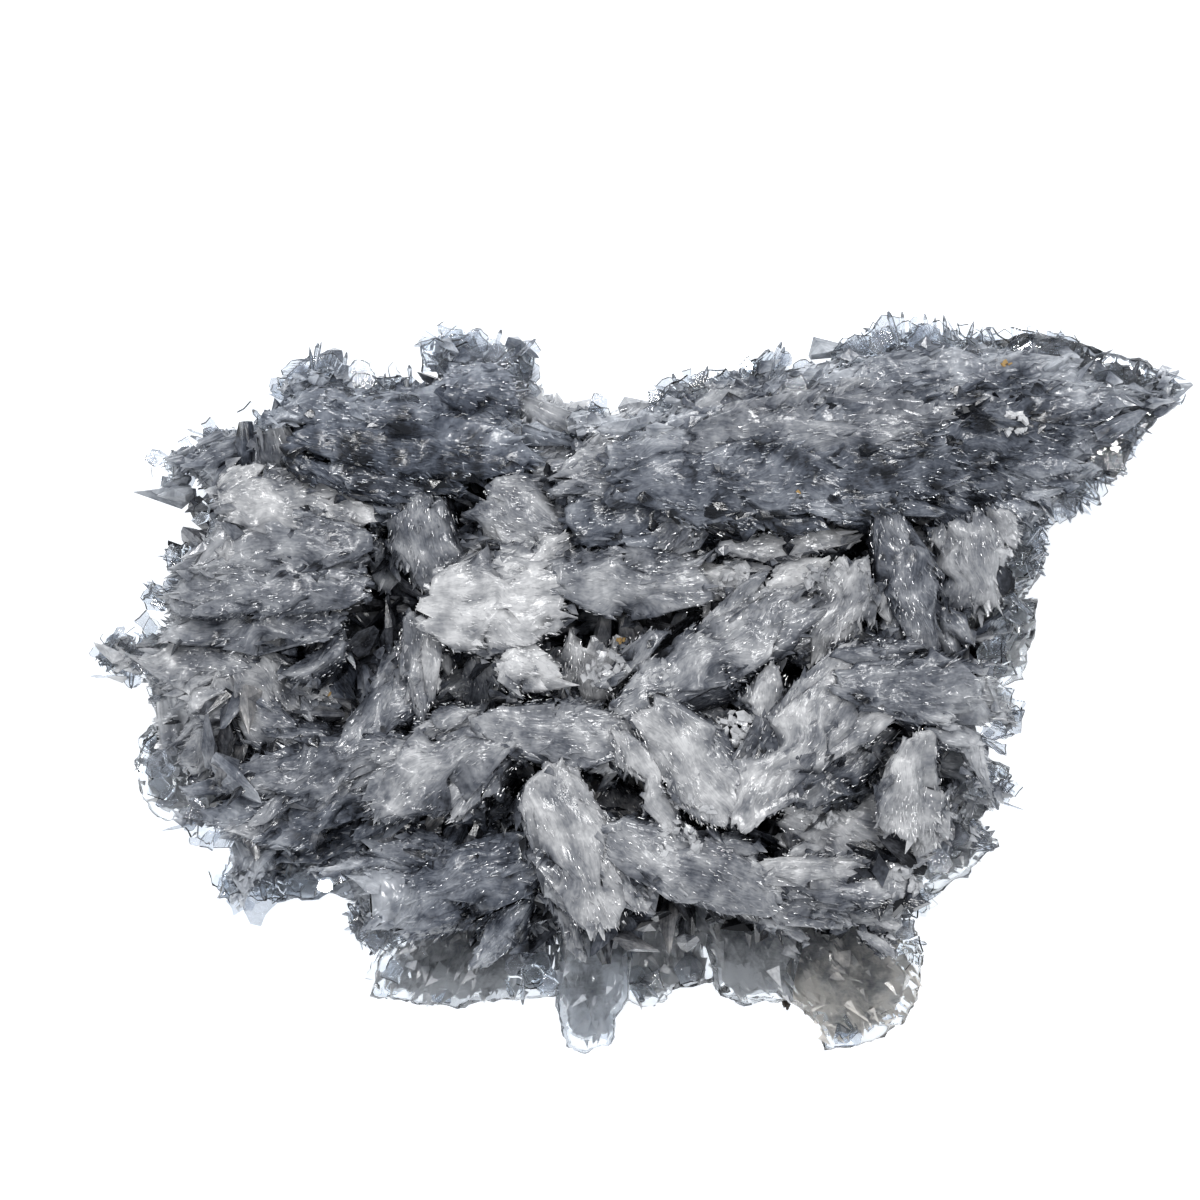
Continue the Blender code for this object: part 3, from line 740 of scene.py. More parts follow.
@dataclass(frozen=True)
class MilkyCrystal:
    """Cloudy barite that takes its tone and warmth from the mesh."""

    name: str  # the material's name
    transmission: float  # how much light passes straight through it
    roughness: float  # how matt it is
    cloud: float  # how strongly its clouds vary
    streak: float  # how strongly its growth lines show

    def material(self, clouds: NodeTree) -> Material:
        """Makes the material.

        Args:
            clouds: the group of clouds and growth lines.

        Returns:
            The material.
        """
        made, nodes, shader = new_material(self.name)
        milky = nodes.add("ShaderNodeGroup", node_tree=clouds)
        nodes.feed(milky, {
            "Tone": nodes.add("ShaderNodeAttribute", attribute_name="tone").outputs["Fac"],
            "Warmth": nodes.add("ShaderNodeAttribute", attribute_name="warmth").outputs["Fac"],
            "Place": nodes.add("ShaderNodeTexCoord").outputs["Object"],
            "Way": nodes.add("ShaderNodeUVMap", uv_map="growth").outputs["UV"],
            "Cloud": self.cloud,
            "Streak": self.streak,
        })
        relief = {"Height": milky.outputs["Relief"], "Distance": LINE_HEIGHT, "Strength": 1.0}
        nodes.feed(shader, {
            "Base Color": milky.outputs["Colour"],
            "Normal": nodes.add("ShaderNodeBump", relief).outputs["Normal"],
            "Roughness": self.roughness,
            "Transmission Weight": self.transmission,
            "IOR": BARITE_IOR,
        })
        return made


@dataclass(frozen=True)
class ClearCrystal:
    """Clear barite that light passes straight through."""

    name: str  # the material's name
    roughness: float  # how matt it is
    tint: tuple  # what colour it gives the light at each face
    wave: float  # height of its uneven growth, in millimetres

    def material(self) -> Material:
        """Makes the material.

        Returns:
            The material.
        """
        made, nodes, shader = new_material(self.name)
        haze = nodes.noise(nodes.add("ShaderNodeTexCoord").outputs["Object"], HAZE_RUN, 2.0, 0.5)
        ripple = {"Height": haze, "Distance": self.wave * MM, "Strength": 1.0}
        nodes.feed(shader, {
            "Base Color": nodes.mixed("MIX", haze, self.tint, PURE),
            "Normal": nodes.add("ShaderNodeBump", ripple).outputs["Normal"],
            "Roughness": self.roughness,
            "Transmission Weight": 1.0,
            "IOR": BARITE_IOR,
        })
        return made


# ---------------- Lamps and outline


LAMP_ANGLES = ((-32, 18), (-13, 34), (7, 22), (27, 34), (2, 52), (-22, -2), (17, 4), (38, 14))  # from overhead
LAMP_REACH, LAMP_HEIGHT = 1.4, 1.25
LAMPS = np.array([
    (LAMP_REACH * math.sin(math.radians(across)), LAMP_REACH * math.sin(math.radians(back)), LAMP_HEIGHT)
    for across, back in LAMP_ANGLES
])  # where they stand, in metres
GLANCES = LAMPS / np.linalg.norm(LAMPS, axis=1)[:, None] + (0, 0, 1)  # facets that face so mirror a lamp upwards


class Rim(Enum):
    """How a stretch of the outline ends, as (band, shortest scale, longest scale, lean, spikes for a millimetre).

    Lengths are in millimetres, and the lean is in degrees.
    """

    SCALLOPS = (4.0, 2.2, 5.0, 8, 0.6)
    SPIKES = (3.4, 2.2, 4.8, 12, 3.4)
    BLOCKS = (3.2, 1.8, 4.2, 12, 1.0)
    SHEETS = (3.5, 1.6, 4.6, 5, 0.15)


@dataclass(frozen=True)
class Stretch:
    """A stretch of the cluster's outline, clockwise."""

    name: str  # what it is called
    rim: Rim  # how it ends
    level: float  # height where nothing carries it from below
    points: tuple  # its plan positions


STRETCHES = (
    Stretch("wing_top", Rim.SCALLOPS, 26, (
        (-10, 34), (-6, 37), (-3, 35), (0.5, 36.5), (3.5, 40), (8, 42), (13, 41.5), (16, 44), (19.5, 42.5),
        (24, 41.5), (24.5, 43.5), (31, 47), (41.5, 47), (45, 46), (51.5, 46), (56, 45.5), (59, 43), (64.5, 41.5),
        (70, 38))),
    Stretch("wing_under", Rim.SPIKES, 24, (
        (70, 38), (67.5, 35.5), (65.5, 33.5), (64.5, 31), (63, 28.5), (61, 25.5), (57.5, 22), (54, 21), (53, 19.5),
        (52, 15), (50, 13.5))),
    Stretch("east", Rim.BLOCKS, 22, (
        (50, 13.5), (51, 11), (50, 5), (47.5, -0.5), (50, -2), (46.5, -9.5), (49, -14), (45, -16.5), (46, -20.5),
        (38.5, -25.5), (38.5, -29))),
    Stretch("disc", Rim.SHEETS, 11, (
        (38.5, -29), (37, -32.5), (37, -35), (36.5, -39), (34.5, -43), (31, -45.5), (24, -47), (23.5, -44),
        (21, -41.5), (15.5, -41))),
    Stretch("bottom", Rim.SHEETS, 11, (
        (15.5, -41), (10, -39), (4.5, -39), (0.5, -41.5), (-2, -40), (-3.5, -45.5), (-6.5, -47), (-10.5, -41.5),
        (-10, -39.5), (-25.5, -41.5), (-34.5, -40), (-33, -35))),
    Stretch("sole", Rim.SPIKES, 22, ((-33, -35), (-37.5, -30.5), (-37, -28), (-32.5, -27))),
    Stretch("ledge", Rim.SHEETS, 10, ((-32.5, -27), (-46, -28), (-54, -27.5), (-52.5, -22.5), (-60.5, -19.5))),
    Stretch("flap", Rim.SHEETS, 11, (
        (-60.5, -19.5), (-61, -17.5), (-63.5, -14.5), (-65, -10), (-63.5, -6.5), (-61, -3.5))),
    Stretch("nose", Rim.BLOCKS, 20, (
        (-61, -3.5), (-67.5, 1), (-70, 3.5), (-63.5, 9.5), (-63.5, 12), (-61, 16), (-60.5, 18), (-56, 19))),
    Stretch("wedge", Rim.SHEETS, 18, ((-56, 19), (-58, 25), (-63.5, 27.5), (-56, 34.5), (-48, 37))),
    Stretch("slate", Rim.SCALLOPS, 24, (
        (-48, 37), (-46.5, 41.5), (-40.5, 43.5), (-35.5, 41.5), (-30.5, 41.5), (-28, 41), (-28, 45), (-23.5, 46),
        (-20, 46), (-12.5, 43.5), (-11, 33), (-10, 34))),
)


def inside(points: np.ndarray, outline: tuple) -> np.ndarray:
    """Tests whether plan positions lie inside a closed outline.

    Args:
        points: the positions.
        outline: the outline's positions.

    Returns:
        True for each position inside.
    """
    ring = np.array(outline, float)
    ahead = np.roll(ring, -1, 0)
    x, y = points[:, :1], points[:, 1:2]
    spans = (ring[:, 1] > y) != (ahead[:, 1] > y)
    rise = np.where(ahead[:, 1] == ring[:, 1], 1e-9, ahead[:, 1] - ring[:, 1])
    crossing = ring[:, 0] + (y - ring[:, 1]) / rise * (ahead[:, 0] - ring[:, 0])
    return ((spans & (x < crossing)).sum(1) % 2).astype(bool)


OUTLINE = np.array([point for stretch in STRETCHES for point in stretch.points], float)


def strewn_inside(outline: tuple, count: int, draw: np.random.Generator) -> np.ndarray:
    """Picks places inside a closed outline.

    Args:
        outline: the outline's positions.
        count: how many are tried, over the outline's whole box.
        draw: the random numbers.

    Returns:
        The plan positions of those inside.
    """
    ring = np.array(outline, float)
    spots = draw.uniform(ring.min(0), ring.max(0), (count, 2))
    return spots[inside(spots, outline)]


def strewn_along(ring: np.ndarray, count: int, draw: np.random.Generator) -> tuple[np.ndarray, np.ndarray]:
    """Picks places along a line.

    Args:
        ring: the line's positions.
        count: how many are picked.
        draw: the random numbers.

    Returns:
        The plan positions, and which segment each lies on.
    """
    reach = np.concatenate(([0], np.cumsum(np.linalg.norm(np.diff(ring, axis=0), axis=1))))
    spot = draw.random(count) * reach[-1]
    plan = np.stack([np.interp(spot, reach, ring[:, axis]) for axis in (0, 1)], 1)
    return plan, np.searchsorted(reach, spot).clip(1, len(ring) - 1) - 1


def inward_offset(points: np.ndarray) -> tuple[np.ndarray, np.ndarray]:
    """Measures how far plan positions lie inside the cluster's outline.

    Args:
        points: the positions.

    Returns:
        The distance of each, below zero outside, and its way inwards.
    """
    distance = np.full(len(points), np.inf)
    away = np.zeros((len(points), 2))
    for start, end in zip(OUTLINE[:-1], OUTLINE[1:]):
        way = end - start
        share = ((points - start) @ way / (way @ way + 1e-9)).clip(0, 1)
        offset = points - start - share[:, None] * way
        length = np.linalg.norm(offset, axis=1)
        closer = length < distance
        distance[closer] = length[closer]
        away[closer] = offset[closer]
    sign = np.where(inside(points, OUTLINE), 1.0, -1.0)
    return sign * distance, sign[:, None] * away / (distance[:, None] + 1e-9)


def drawn_in(points: np.ndarray, margin: float) -> np.ndarray:
    """Moves plan positions inwards where they lie close to the cluster's outline.

    Args:
        points: the positions.
        margin: the least distance from the outline, roughly.

    Returns:
        The new positions.
    """
    distance, inwards = inward_offset(points)
    lack = (1.5 * margin - distance).clip(0)
    return points + inwards * (lack * lack / (lack + 0.8 * margin))[:, None]


# ---------------- Crests


@dataclass(frozen=True)
class Habit:
    """How the crystals of a crest grow. Lengths are in millimetres."""

    page_pitch: float = 0.7  # from one page to the next
    tooth: float = 2.2  # from one tooth of a page's edge to the next
    bite: float = 0.12  # depth of the notches between the teeth
    step: float = 0.12  # how much the pages differ in height
    ragged: float = 2.2  # how much the pages differ in reach
    lobe: float = 0.6  # height of the long lobes along the ridge
    wobble: float = 0.5  # how uneven the whole surface is, close up
    swell: float = 1.3  # how uneven it is over its length
    bulge: float = 0.30  # how unevenly its sides bulge
    sag: float = 0.24  # how far the outer pages stay below the middle ones, over the width
    cell: float = 0.58  # size of the mesh's cells
    grain: float = 0.75  # size of the bundles of blades, over the usual
    fans: float = 0.010  # large bundles of blades for each square millimetre along the ridge
    feathers: float = 0.20  # small bundles of blades for each square millimetre along the ridge
    barbs: float = 0.55  # single pointed blades for each square millimetre
    slivers: float = 0.6  # needles for each square millimetre
    sparks: float = 0.8  # needles for each square millimetre that lie flat and catch the light from above
    margin: float = 3.6  # how far the bodies stay inside the cluster's outline


@dataclass(frozen=True)
class Relief:
    """How the surface of a crest rises, falls and hangs over. Lengths are in millimetres."""

    pinch_run: float = 0.16  # how often the width changes, for each millimetre
    lobe_run: float = 0.28  # how often lobes follow one another along the ridge, for each millimetre
    lobe_span: float = 0.95  # how often they do across it
    wobble_run: float = 0.4  # how often the surface changes, close up
    swell_run: float = 0.14  # how often it changes over the crest's length
    face: float = 3.0  # depth over which teeth and lobes fade
    tip_undercut: float = 0.30  # how far the tip draws back for each millimetre of depth
    heel_undercut: float = 0.15  # how far the heel does
    flare: float = 0.12  # how far the flanks stand out for each millimetre of depth
    flare_depth: float = 5.0  # the depth where they stop doing so
    widening: float = 0.1  # how much wider a crest grows over its length
    narrow: float = 0.3  # the share of the run where it has its own width
    taper_run: tuple = (0.6, 1.0)  # the shares of the run where the depth starts and ends its fall
    taper_depth: tuple = (1.0, 0.3)  # the depths there, over the crest's


GIRTH_RUN = (0.0, 0.2, 0.5, 0.8, 1.0)  # shares of the run
GIRTH_SHARE = (0.40, 0.88, 1.0, 0.80, 0.30)  # a crest's width there, over its widest
HEEL_DEPTHS = (1.0, 0.35, 0.08)  # how far the heel's lines lie below the ridge, over the depth
TIP_DEPTHS = (0.02, 0.06, 0.12, 0.20, 0.32, 0.5, 1.0)
FLANK_DEPTHS = (0.025, 0.06, 0.11, 0.18, 0.28, 0.42, 0.62, 1.0)
PAGES = 80  # more than any crest has
SHORT_PAGES = 0.7  # of the pages end before the crest does
TOOTH_LEAST = 0.7  # shortest tooth, over the usual
TOOTH_STARTS = 9.0  # teeth that the pages' saws may start in
FIELD = 50.0  # millimetres between the unevenness of one crest and another's
NEIGHBOUR = 5  # mesh lines from where a crest is pinched to where it bends
GROOVE_DEPTH = 2.2  # how much deeper a groove between lobes counts than it is, in millimetres, so that grooves take painted shade and fewer crystals


def page_ends(side: np.ndarray) -> tuple[np.ndarray, np.ndarray]:
    """Finds where pages start and end.

    Args:
        side: where they lie across the crest, as shares of its half width.

    Returns:
        Their starts and ends, as shares of the crest's run.
    """
    away = np.abs(side).clip(0, 1)
    start = np.interp(away, GIRTH_SHARE[:3], GIRTH_RUN[:3])
    end = np.interp(away, GIRTH_SHARE[:1:-1], GIRTH_RUN[:1:-1])
    return start * 0.85, end * 0.97 + 0.03


def uneven(points: np.ndarray, often: float, shift: tuple) -> np.ndarray:
    """Gives each point a push of its own.

    Args:
        points: the points.
        often: how often the push changes, for each millimetre.
        shift: where in the field of pushes they are taken from.

    Returns:
        The pushes, of shape (n, 3).
    """
    return np.array([noise.noise_vector(Vector(point[:3]) * often + Vector(shift)) for point in points])


def crest_body(crest: Crest, habit: Habit, relief: Relief) -> tuple[Stock, np.ndarray]:
    """The grown-together pages of a crest as one closed skin, kept a little inside the cluster's outline.

    Args:
        crest: the ridge.
        habit: how its crystals grow.
        relief: how its surface rises and falls.

    Returns:
        The body in millimetres, and the depth of each point below the ridge.
    """
    draw = np.random.default_rng(list(crest.name.encode()))
    stock, column, (run, fall), (side, drape) = folded_sheet(crest, habit)
    taper = np.interp(run, relief.taper_run, relief.taper_depth)
    sunk = np.maximum(fall, drape) * crest.depth * taper
    half = crest.width / 2
    leaf = np.floor(side * half / habit.page_pitch + PAGES / 2).astype(int)
    chance = draw.random((5, PAGES))
    start, end = page_ends(side)
    reach = crest.length * end + (chance[0][leaf] - SHORT_PAGES) * habit.ragged
    begin = crest.length * start + (chance[1][leaf] - 0.5) * habit.ragged
    along = begin + run * (reach - begin)
    tooth = habit.tooth * (TOOTH_LEAST + chance[2][leaf])
    saw = np.mod(along / tooth + TOOTH_STARTS * chance[3][leaf], 1.0)
    height = habit.bite * (saw - 0.5) + habit.step * (chance[4][leaf] - 0.5)
    above = np.exp(-sunk / relief.face)
    tilt = crest.drop * (along / crest.length).clip(0) ** 2
    bow = habit.sag * crest.width * side**4
    outward = np.sign(side)
    undercut = relief.heel_undercut * (run < 0.01) - relief.tip_undercut * (run > 0.99)
    flare = relief.flare * np.minimum(sunk, relief.flare_depth) * (np.abs(side) > 0.99)
    stock.points[:, 0] = along + undercut * sunk
    spread = 1 + relief.widening * (along / crest.length - relief.narrow)
    stock.points[:, 1] = side * half * spread + outward * flare
    stock.points[:, 2] = -tilt - bow - sunk + height * above
    shift = FIELD * draw.random()
    lines = np.unique(column, return_index=True)[1]
    pinch = np.array([
        noise.noise(Vector((share * crest.length * relief.pinch_run, shift, 0))) for share in run[lines]
    ])
    stock.points[:, 1] *= 1 + 2 * habit.bulge * pinch[column]
    stock.points[:, 1] += habit.bulge * crest.width * np.roll(pinch, NEIGHBOUR)[column]
    across = side * half + outward * sunk
    fields = np.stack([along * relief.lobe_run, across * relief.lobe_span, np.full_like(along, shift)], 1)
    lobes = np.array([noise.noise(Vector(point)) for point in fields])
    stock.points[:, 2] += habit.lobe * lobes * above
    stock.points[:, 1] += habit.lobe * lobes * outward * (1 - above)
    wobble = uneven(stock.points, relief.wobble_run, (shift, 0, 0))
    swell = uneven(stock.points, relief.swell_run, (0, shift, 0))
    stock.points[:, :3] += wobble * habit.wobble + swell * habit.swell
    stock.way = np.stack([along, across], 1)
    stock.points = stock.points @ np.array(crest.frame).T
    stock.points[:, :2] = drawn_in(stock.points[:, :2], habit.margin)
    stock.face_outwards()
    # Grooves count deeper, so that they take painted shade.
    return stock, sunk + bow - GROOVE_DEPTH * lobes * above


def folded_sheet(crest: Crest, habit: Habit) -> tuple[Stock, np.ndarray, tuple, tuple]:
    """A sheet with lines for its upper face and for the folds at the heel, the tip and the flanks, closed below.

    Args:
        crest: the ridge that it becomes.
        habit: how its crystals grow.

    Returns:
        The sheet, each point's line along the run, its shares of the run and of the depth there, and its shares of
        the half width and of the depth there.
    """
    flat_runs = max(8, round(crest.length / habit.cell))
    flat_sides = max(6, round(crest.width / habit.cell))
    runs = np.concatenate([np.zeros(len(HEEL_DEPTHS)), np.linspace(0, 1, flat_runs), np.ones(len(TIP_DEPTHS))])
    falls = np.concatenate([HEEL_DEPTHS, np.zeros(flat_runs), TIP_DEPTHS])
    flank = np.ones(len(FLANK_DEPTHS))
    sides = np.concatenate([-flank, np.linspace(-1, 1, flat_sides), flank])
    drapes = np.concatenate([FLANK_DEPTHS[::-1], np.zeros(flat_sides), FLANK_DEPTHS])
    sheet = bmesh.new()
    bmesh.ops.create_grid(sheet, x_segments=len(runs) - 1, y_segments=len(sides) - 1, size=1)
    rim = [edge for edge in sheet.edges if edge.is_boundary]
    bmesh.ops.holes_fill(sheet, edges=rim, sides=0)
    stock = Stock(sheet)
    column = np.rint((stock.points[:, 0] + 1) / 2 * (len(runs) - 1)).astype(int)
    row = np.rint((stock.points[:, 1] + 1) / 2 * (len(sides) - 1)).astype(int)
    return stock, column, (runs[column], falls[column]), (sides[row], drapes[row])


@dataclass(frozen=True)
class Branching:
    """How smaller crests branch from the sides of one, and fan away from it towards its tip."""

    area: float = 30.0  # square millimetres of crest for each branch
    run: tuple = (-0.05, 0.72)  # first and last share of the run where they root
    side: tuple = (0.2, 0.62)  # least and greatest share of the width that they root to one side
    turn: tuple = (12, 48)  # least and greatest degrees that they turn away at the side
    reach: tuple = (0.22, 0.42)  # shortest and longest, over the crest's length
    longest_crest: float = 26.0  # length that counts at most, in millimetres
    stub: float = 1.5  # millimetres that each one has besides
    sink: tuple = (0.2, 2.6)  # least and greatest depth of their ridges below the crest's
    slope: float = 2.2  # how much deeper those at the side are
    width: tuple = (0.28, 0.46)  # least and greatest, over the crest's
    drop: tuple = (0.8, 2.5)  # least and greatest fall towards the tip
    depth: float = 0.55  # over the crest's
    lean: float = 20.0  # how many degrees those at the side lean outwards

    def offshoots(self, crest: Crest) -> list[Crest]:
        """Grows the branches of a crest.

        Args:
            crest: what they branch from.

        Returns:
            The branches.
        """
        draw = random.Random(crest.name)
        foot, ahead = Vector(crest.foot), (Vector(crest.tip) - Vector(crest.foot)).normalized()
        across = Vector((-ahead.y, ahead.x))
        made = []
        for number in range(1 + round(crest.length * crest.width / self.area)):
            run = draw.uniform(*self.run)
            side = draw.choice((-1, 1)) * draw.uniform(*self.side)
            turn = math.radians(side * draw.uniform(*self.turn))
            root = foot + ahead * run * crest.length + across * side * crest.width
            reach = draw.uniform(*self.reach) * min(crest.length, self.longest_crest) + self.stub
            tip = root + (ahead * math.cos(turn) + across * math.sin(turn)) * reach
            crown = crest.crown - crest.drop * max(0, run) ** 2 - draw.uniform(*self.sink) - self.slope * abs(side)
            width, drop = draw.uniform(*self.width) * crest.width, draw.uniform(*self.drop)
            made.append(replace(
                crest, name=f"{crest.name}_{number}", foot=tuple(root), tip=tuple(tip), crown=crown, width=width,
                drop=drop, depth=self.depth * crest.depth, lean=crest.lean - self.lean * side,
            ))
        return made


class Crystals(NamedTuple):
    """How one kind of small crystal grows on the crests. Lengths are in millimetres."""

    name: str  # the kind's name
    stocks: list  # the shapes to choose from
    density: float  # how many for each square millimetre
    length: tuple  # shortest and longest
    width: tuple  # least and greatest
    height: tuple  # least and greatest
    sunk: tuple  # how deep their roots lie, at least and at most
    lift: tuple  # how far they turn away from the surface, at least and at most
    stray: float  # how unevenly they point
    roll: float  # how unevenly their backs face
    tone: float = 0.0  # how much paler they are than what carries them
    shading: tuple = (0.0, 0.0)  # painted shade and light: rise of the tone along each one and up each one
    edge: float = 0.0  # how many more there are at the crests' sides
    fade: float = 6.0  # the depth over which they thin out
    glances: bool = False  # whether they lie so that they catch a lamp
    clump: float = 0.0  # how strongly they gather in clusters


@dataclass
class CrestGroup:
    """The crests of one region, with the small crystals that shingle them."""

    region: Region  # the region
    habit: Habit  # how its crystals grow
    relief: Relief = Relief()  # how the crests' surfaces rise and fall
    branching: Branching = Branching()  # how they branch
    slender: float = 0.5  # the least share of their length that small crystals have on narrow crests
    full_width: float = 10.0  # width of a crest, in millimetres, that adds a whole length to that share
    fan: float = 0.35  # how far small crystals at the sides turn outwards, for each width away from the ridge
    fan_reach: float = 0.7  # how many widths count at most
    sky: float = 0.3  # how far their backs turn up
    mottle: float = 0.04  # how unevenly pale they are

    def __post_init__(self) -> None:
        """Grows the bodies."""
        grown = [twig for crest in CRESTS[self.region] for twig in (crest, *self.branching.offshoots(crest))]
        self.bodies = {crest: crest_body(crest, self.habit, self.relief) for crest in grown}

    def crests(self) -> Object:
        """Builds the crests' bodies.

        Returns:
            The piece.
        """
        heap = Heap()
        for crest, (stock, depth) in self.bodies.items():
            tone, warmth = crest.shade.value
            # The tones carry painted shade on deep flanks and painted light on the ridges.
            tones = rim_tone(depth_shaded_tone(tone, depth), stock.points)
            heap.add(stock, np.eye(4)[None], tones, np.array([warmth]))
        return heap.joined(f"{self.region.value}_crests", smooth=True)

    def grown(self, kind: Crystals) -> Object:
        """Builds one kind of small crystal, all pointing from foot to tip.

        Args:
            kind: the kind.

        Returns:
            The piece.
        """
        heap = Heap()
        for crest, (stock, depth) in self.bodies.items():
            draw = np.random.default_rng(list((kind.name + crest.name).encode()))
            tone, warmth = crest.shade.value
            points, facing, sunk = Skin(stock, depth).spots(kind.density, kind.edge, kind.fade, kind.clump, draw)
            count = len(points)
            sizes = spread(draw, count, kind.length, kind.width, kind.height)
            sizes[:, 0] *= min(1.0, self.slender + crest.width / self.full_width)
            sizes *= self.habit.grain
            ahead, across, _, foot = np.array(crest.frame.transposed())[:, :3]
            fan = ((points - foot) @ across / crest.width).clip(-self.fan_reach, self.fan_reach)
            along = ahead + facing * draw.uniform(*kind.lift, (count, 1)) + draw.normal(0, kind.stray, (count, 3))
            along += self.fan * fan[:, None] * across
            up = facing + (0, 0, self.sky) + draw.normal(0, kind.roll, (count, 3))
            if kind.glances:
                up = GLANCES[draw.integers(0, len(GLANCES), count)] + draw.normal(0, kind.roll, (count, 3))
                along = along - np.einsum("ni,ni->n", along, unit(up))[:, None] * unit(up)
            rooted = points - facing * draw.uniform(*kind.sunk, (count, 1))
            places = stood(rooted, along, up, sizes)
            # The tones carry painted shade on deep flanks and painted light on the ridges.
            tones = rim_tone(depth_shaded_tone(tone, sunk) + draw.normal(kind.tone, self.mottle, count), points)
            picks = draw.integers(0, len(kind.stocks), count)
            heap.scatter(kind.stocks, picks, places, tones, np.full(count, warmth), kind.shading)
        return heap.joined(f"{self.region.value}_{kind.name}", smooth=False)


RIM_TONE = 0.84  # of crystals at the cluster's outline
RIM_SHARE = 0.9  # how nearly they reach it
RIM_REACH = 6.0  # how far inwards light comes through, in millimetres
PROUD_TONE, PROUD_GAIN = 0.95, 0.12  # painted light on ridges: a ridge's tone over its crest's, and its rise for each millimetre above
DEEP_LOSS, DEEP_REACH, DEEP_POWER = 0.85, 2.7, 1.3  # painted shade: how much darker deep flanks are, from how deep, how suddenly


def rim_tone(tones: np.ndarray, points: np.ndarray) -> np.ndarray:
    """Makes crystals pale near the cluster's outline, where light comes through.

    Args:
        tones: their tones.
        points: where they are, in millimetres.

    Returns:
        Their new tones.
    """
    near = np.exp(-((inward_offset(points[:, :2])[0].clip(0) / RIM_REACH) ** 2))
    return tones + (RIM_TONE - tones) * near * RIM_SHARE


def depth_shaded_tone(tone: float, depth: np.ndarray) -> np.ndarray:
    """Paints shade into crystals deep below the ridge, where the hollows are dark, and paints light onto those above
    it.

    Args:
        tone: the crest's tone.
        depth: how deep each crystal is, in millimetres, or how high above the ridge where it is below zero.

    Returns:
        Their tones.
    """
    proud = PROUD_TONE + PROUD_GAIN * (-depth).clip(0)
    return tone * proud - tone * DEEP_LOSS * (1 - np.exp(-(depth.clip(0) / DEEP_REACH) ** DEEP_POWER))


# ---------------- Core


BELLY = (
    (-53, 27.5), (-43, 36.5), (-24, 38), (-10.5, 31), (8, 33.5), (31, 38.5), (53, 38), (54, 31.5),
    (45, 16), (45, 6), (42.5, -9.5), (37.5, -21), (21, -30.5), (-2, -33), (-20, -31), (-38, -21),
    (-53.5, -14.5), (-58.5, 3.5), (-57.5, 16),
)  # plan outline of the mass that the crests grow from
CENTRE = (-3.0, 5.0)  # plan position that it is drawn in to
MOUND_LEVELS = (
    (0.0, 0.60), (3.0, 0.72), (10.0, 0.92), (17.0, 0.80), (19.0, 0.60),
)  # (height, share of the belly's outline), from the contact face up


@dataclass(frozen=True)
class MassiveCore:
    """The low massive mound that the crests grow from. Lengths are in millimetres."""

    levels: tuple = MOUND_LEVELS
    cuts: int = 5  # how often each edge is divided, so that the surface can be uneven
    rough_run: float = 0.25  # how often the surface changes, for each millimetre
    rough: float = 1.2  # how far it stands out
    rough_lift: float = 0.4  # how far it rises, for each millimetre that it stands out
    footing: float = 4.0  # height from which it rises in full
    tone: float = 0.10  # how pale it is
    warmth: float = 0.5  # how warm it is

    def build(self) -> Object:
        """Builds the mound from its flat contact face up, with a broken surface.

        Returns:
            The piece.
        """
        mound = bmesh.new()
        centre = Vector(CENTRE).to_3d()
        share = self.levels[0][1]
        ring = [mound.verts.new(centre + (Vector(point).to_3d() - centre) * share) for point in BELLY]
        face = mound.faces.new(ring)
        for (low, inner), (high, outer) in zip(self.levels, self.levels[1:]):
            upper, face = extruded(mound, [face])
            growth = outer / inner
            bmesh.ops.translate(mound, vec=(0, 0, high - low), verts=upper)
            bmesh.ops.scale(mound, vec=(growth, growth, 1), verts=upper, space=Matrix.Translation(-centre))
        bmesh.ops.recalc_face_normals(mound, faces=mound.faces)
        bmesh.ops.triangulate(mound, faces=mound.faces)
        bmesh.ops.subdivide_edges(mound, edges=mound.edges, cuts=self.cuts, use_grid_fill=True)
        for vertex in mound.verts:
            if vertex.co.z < 0.01:
                continue
            push = noise.fractal(vertex.co * self.rough_run, 0.8, 2.0, 3) * self.rough
            outward = (vertex.co - centre).to_2d().normalized().to_3d()
            rise = push * self.rough_lift * min(1, vertex.co.z / self.footing)
            vertex.co += outward * push + Vector((0, 0, rise))
        bmesh.ops.scale(mound, vec=(MM, MM, MM), verts=mound.verts)
        mesh = bpy.data.meshes.new("massive_core")
        mound.to_mesh(mesh)
        mound.free()
        everywhere = np.ones(len(mesh.vertices))
        return dressed("massive_core", mesh, self.tone * everywhere, self.warmth * everywhere)


# ---------------- Rim and plates


@dataclass(frozen=True)
class Plate:
    """A flat-lying crystal under the crests."""

    name: str  # what it is called
    level: float  # height of its upper face at its middle
    thickness: float  # of the plate
    slope: tuple  # rise for each millimetre along X and Y
    shade: Shade  # how pale and how warm it is
    outline: tuple  # its plan positions
    edge_tone: float = 1.1  # its tone at the cluster's outline


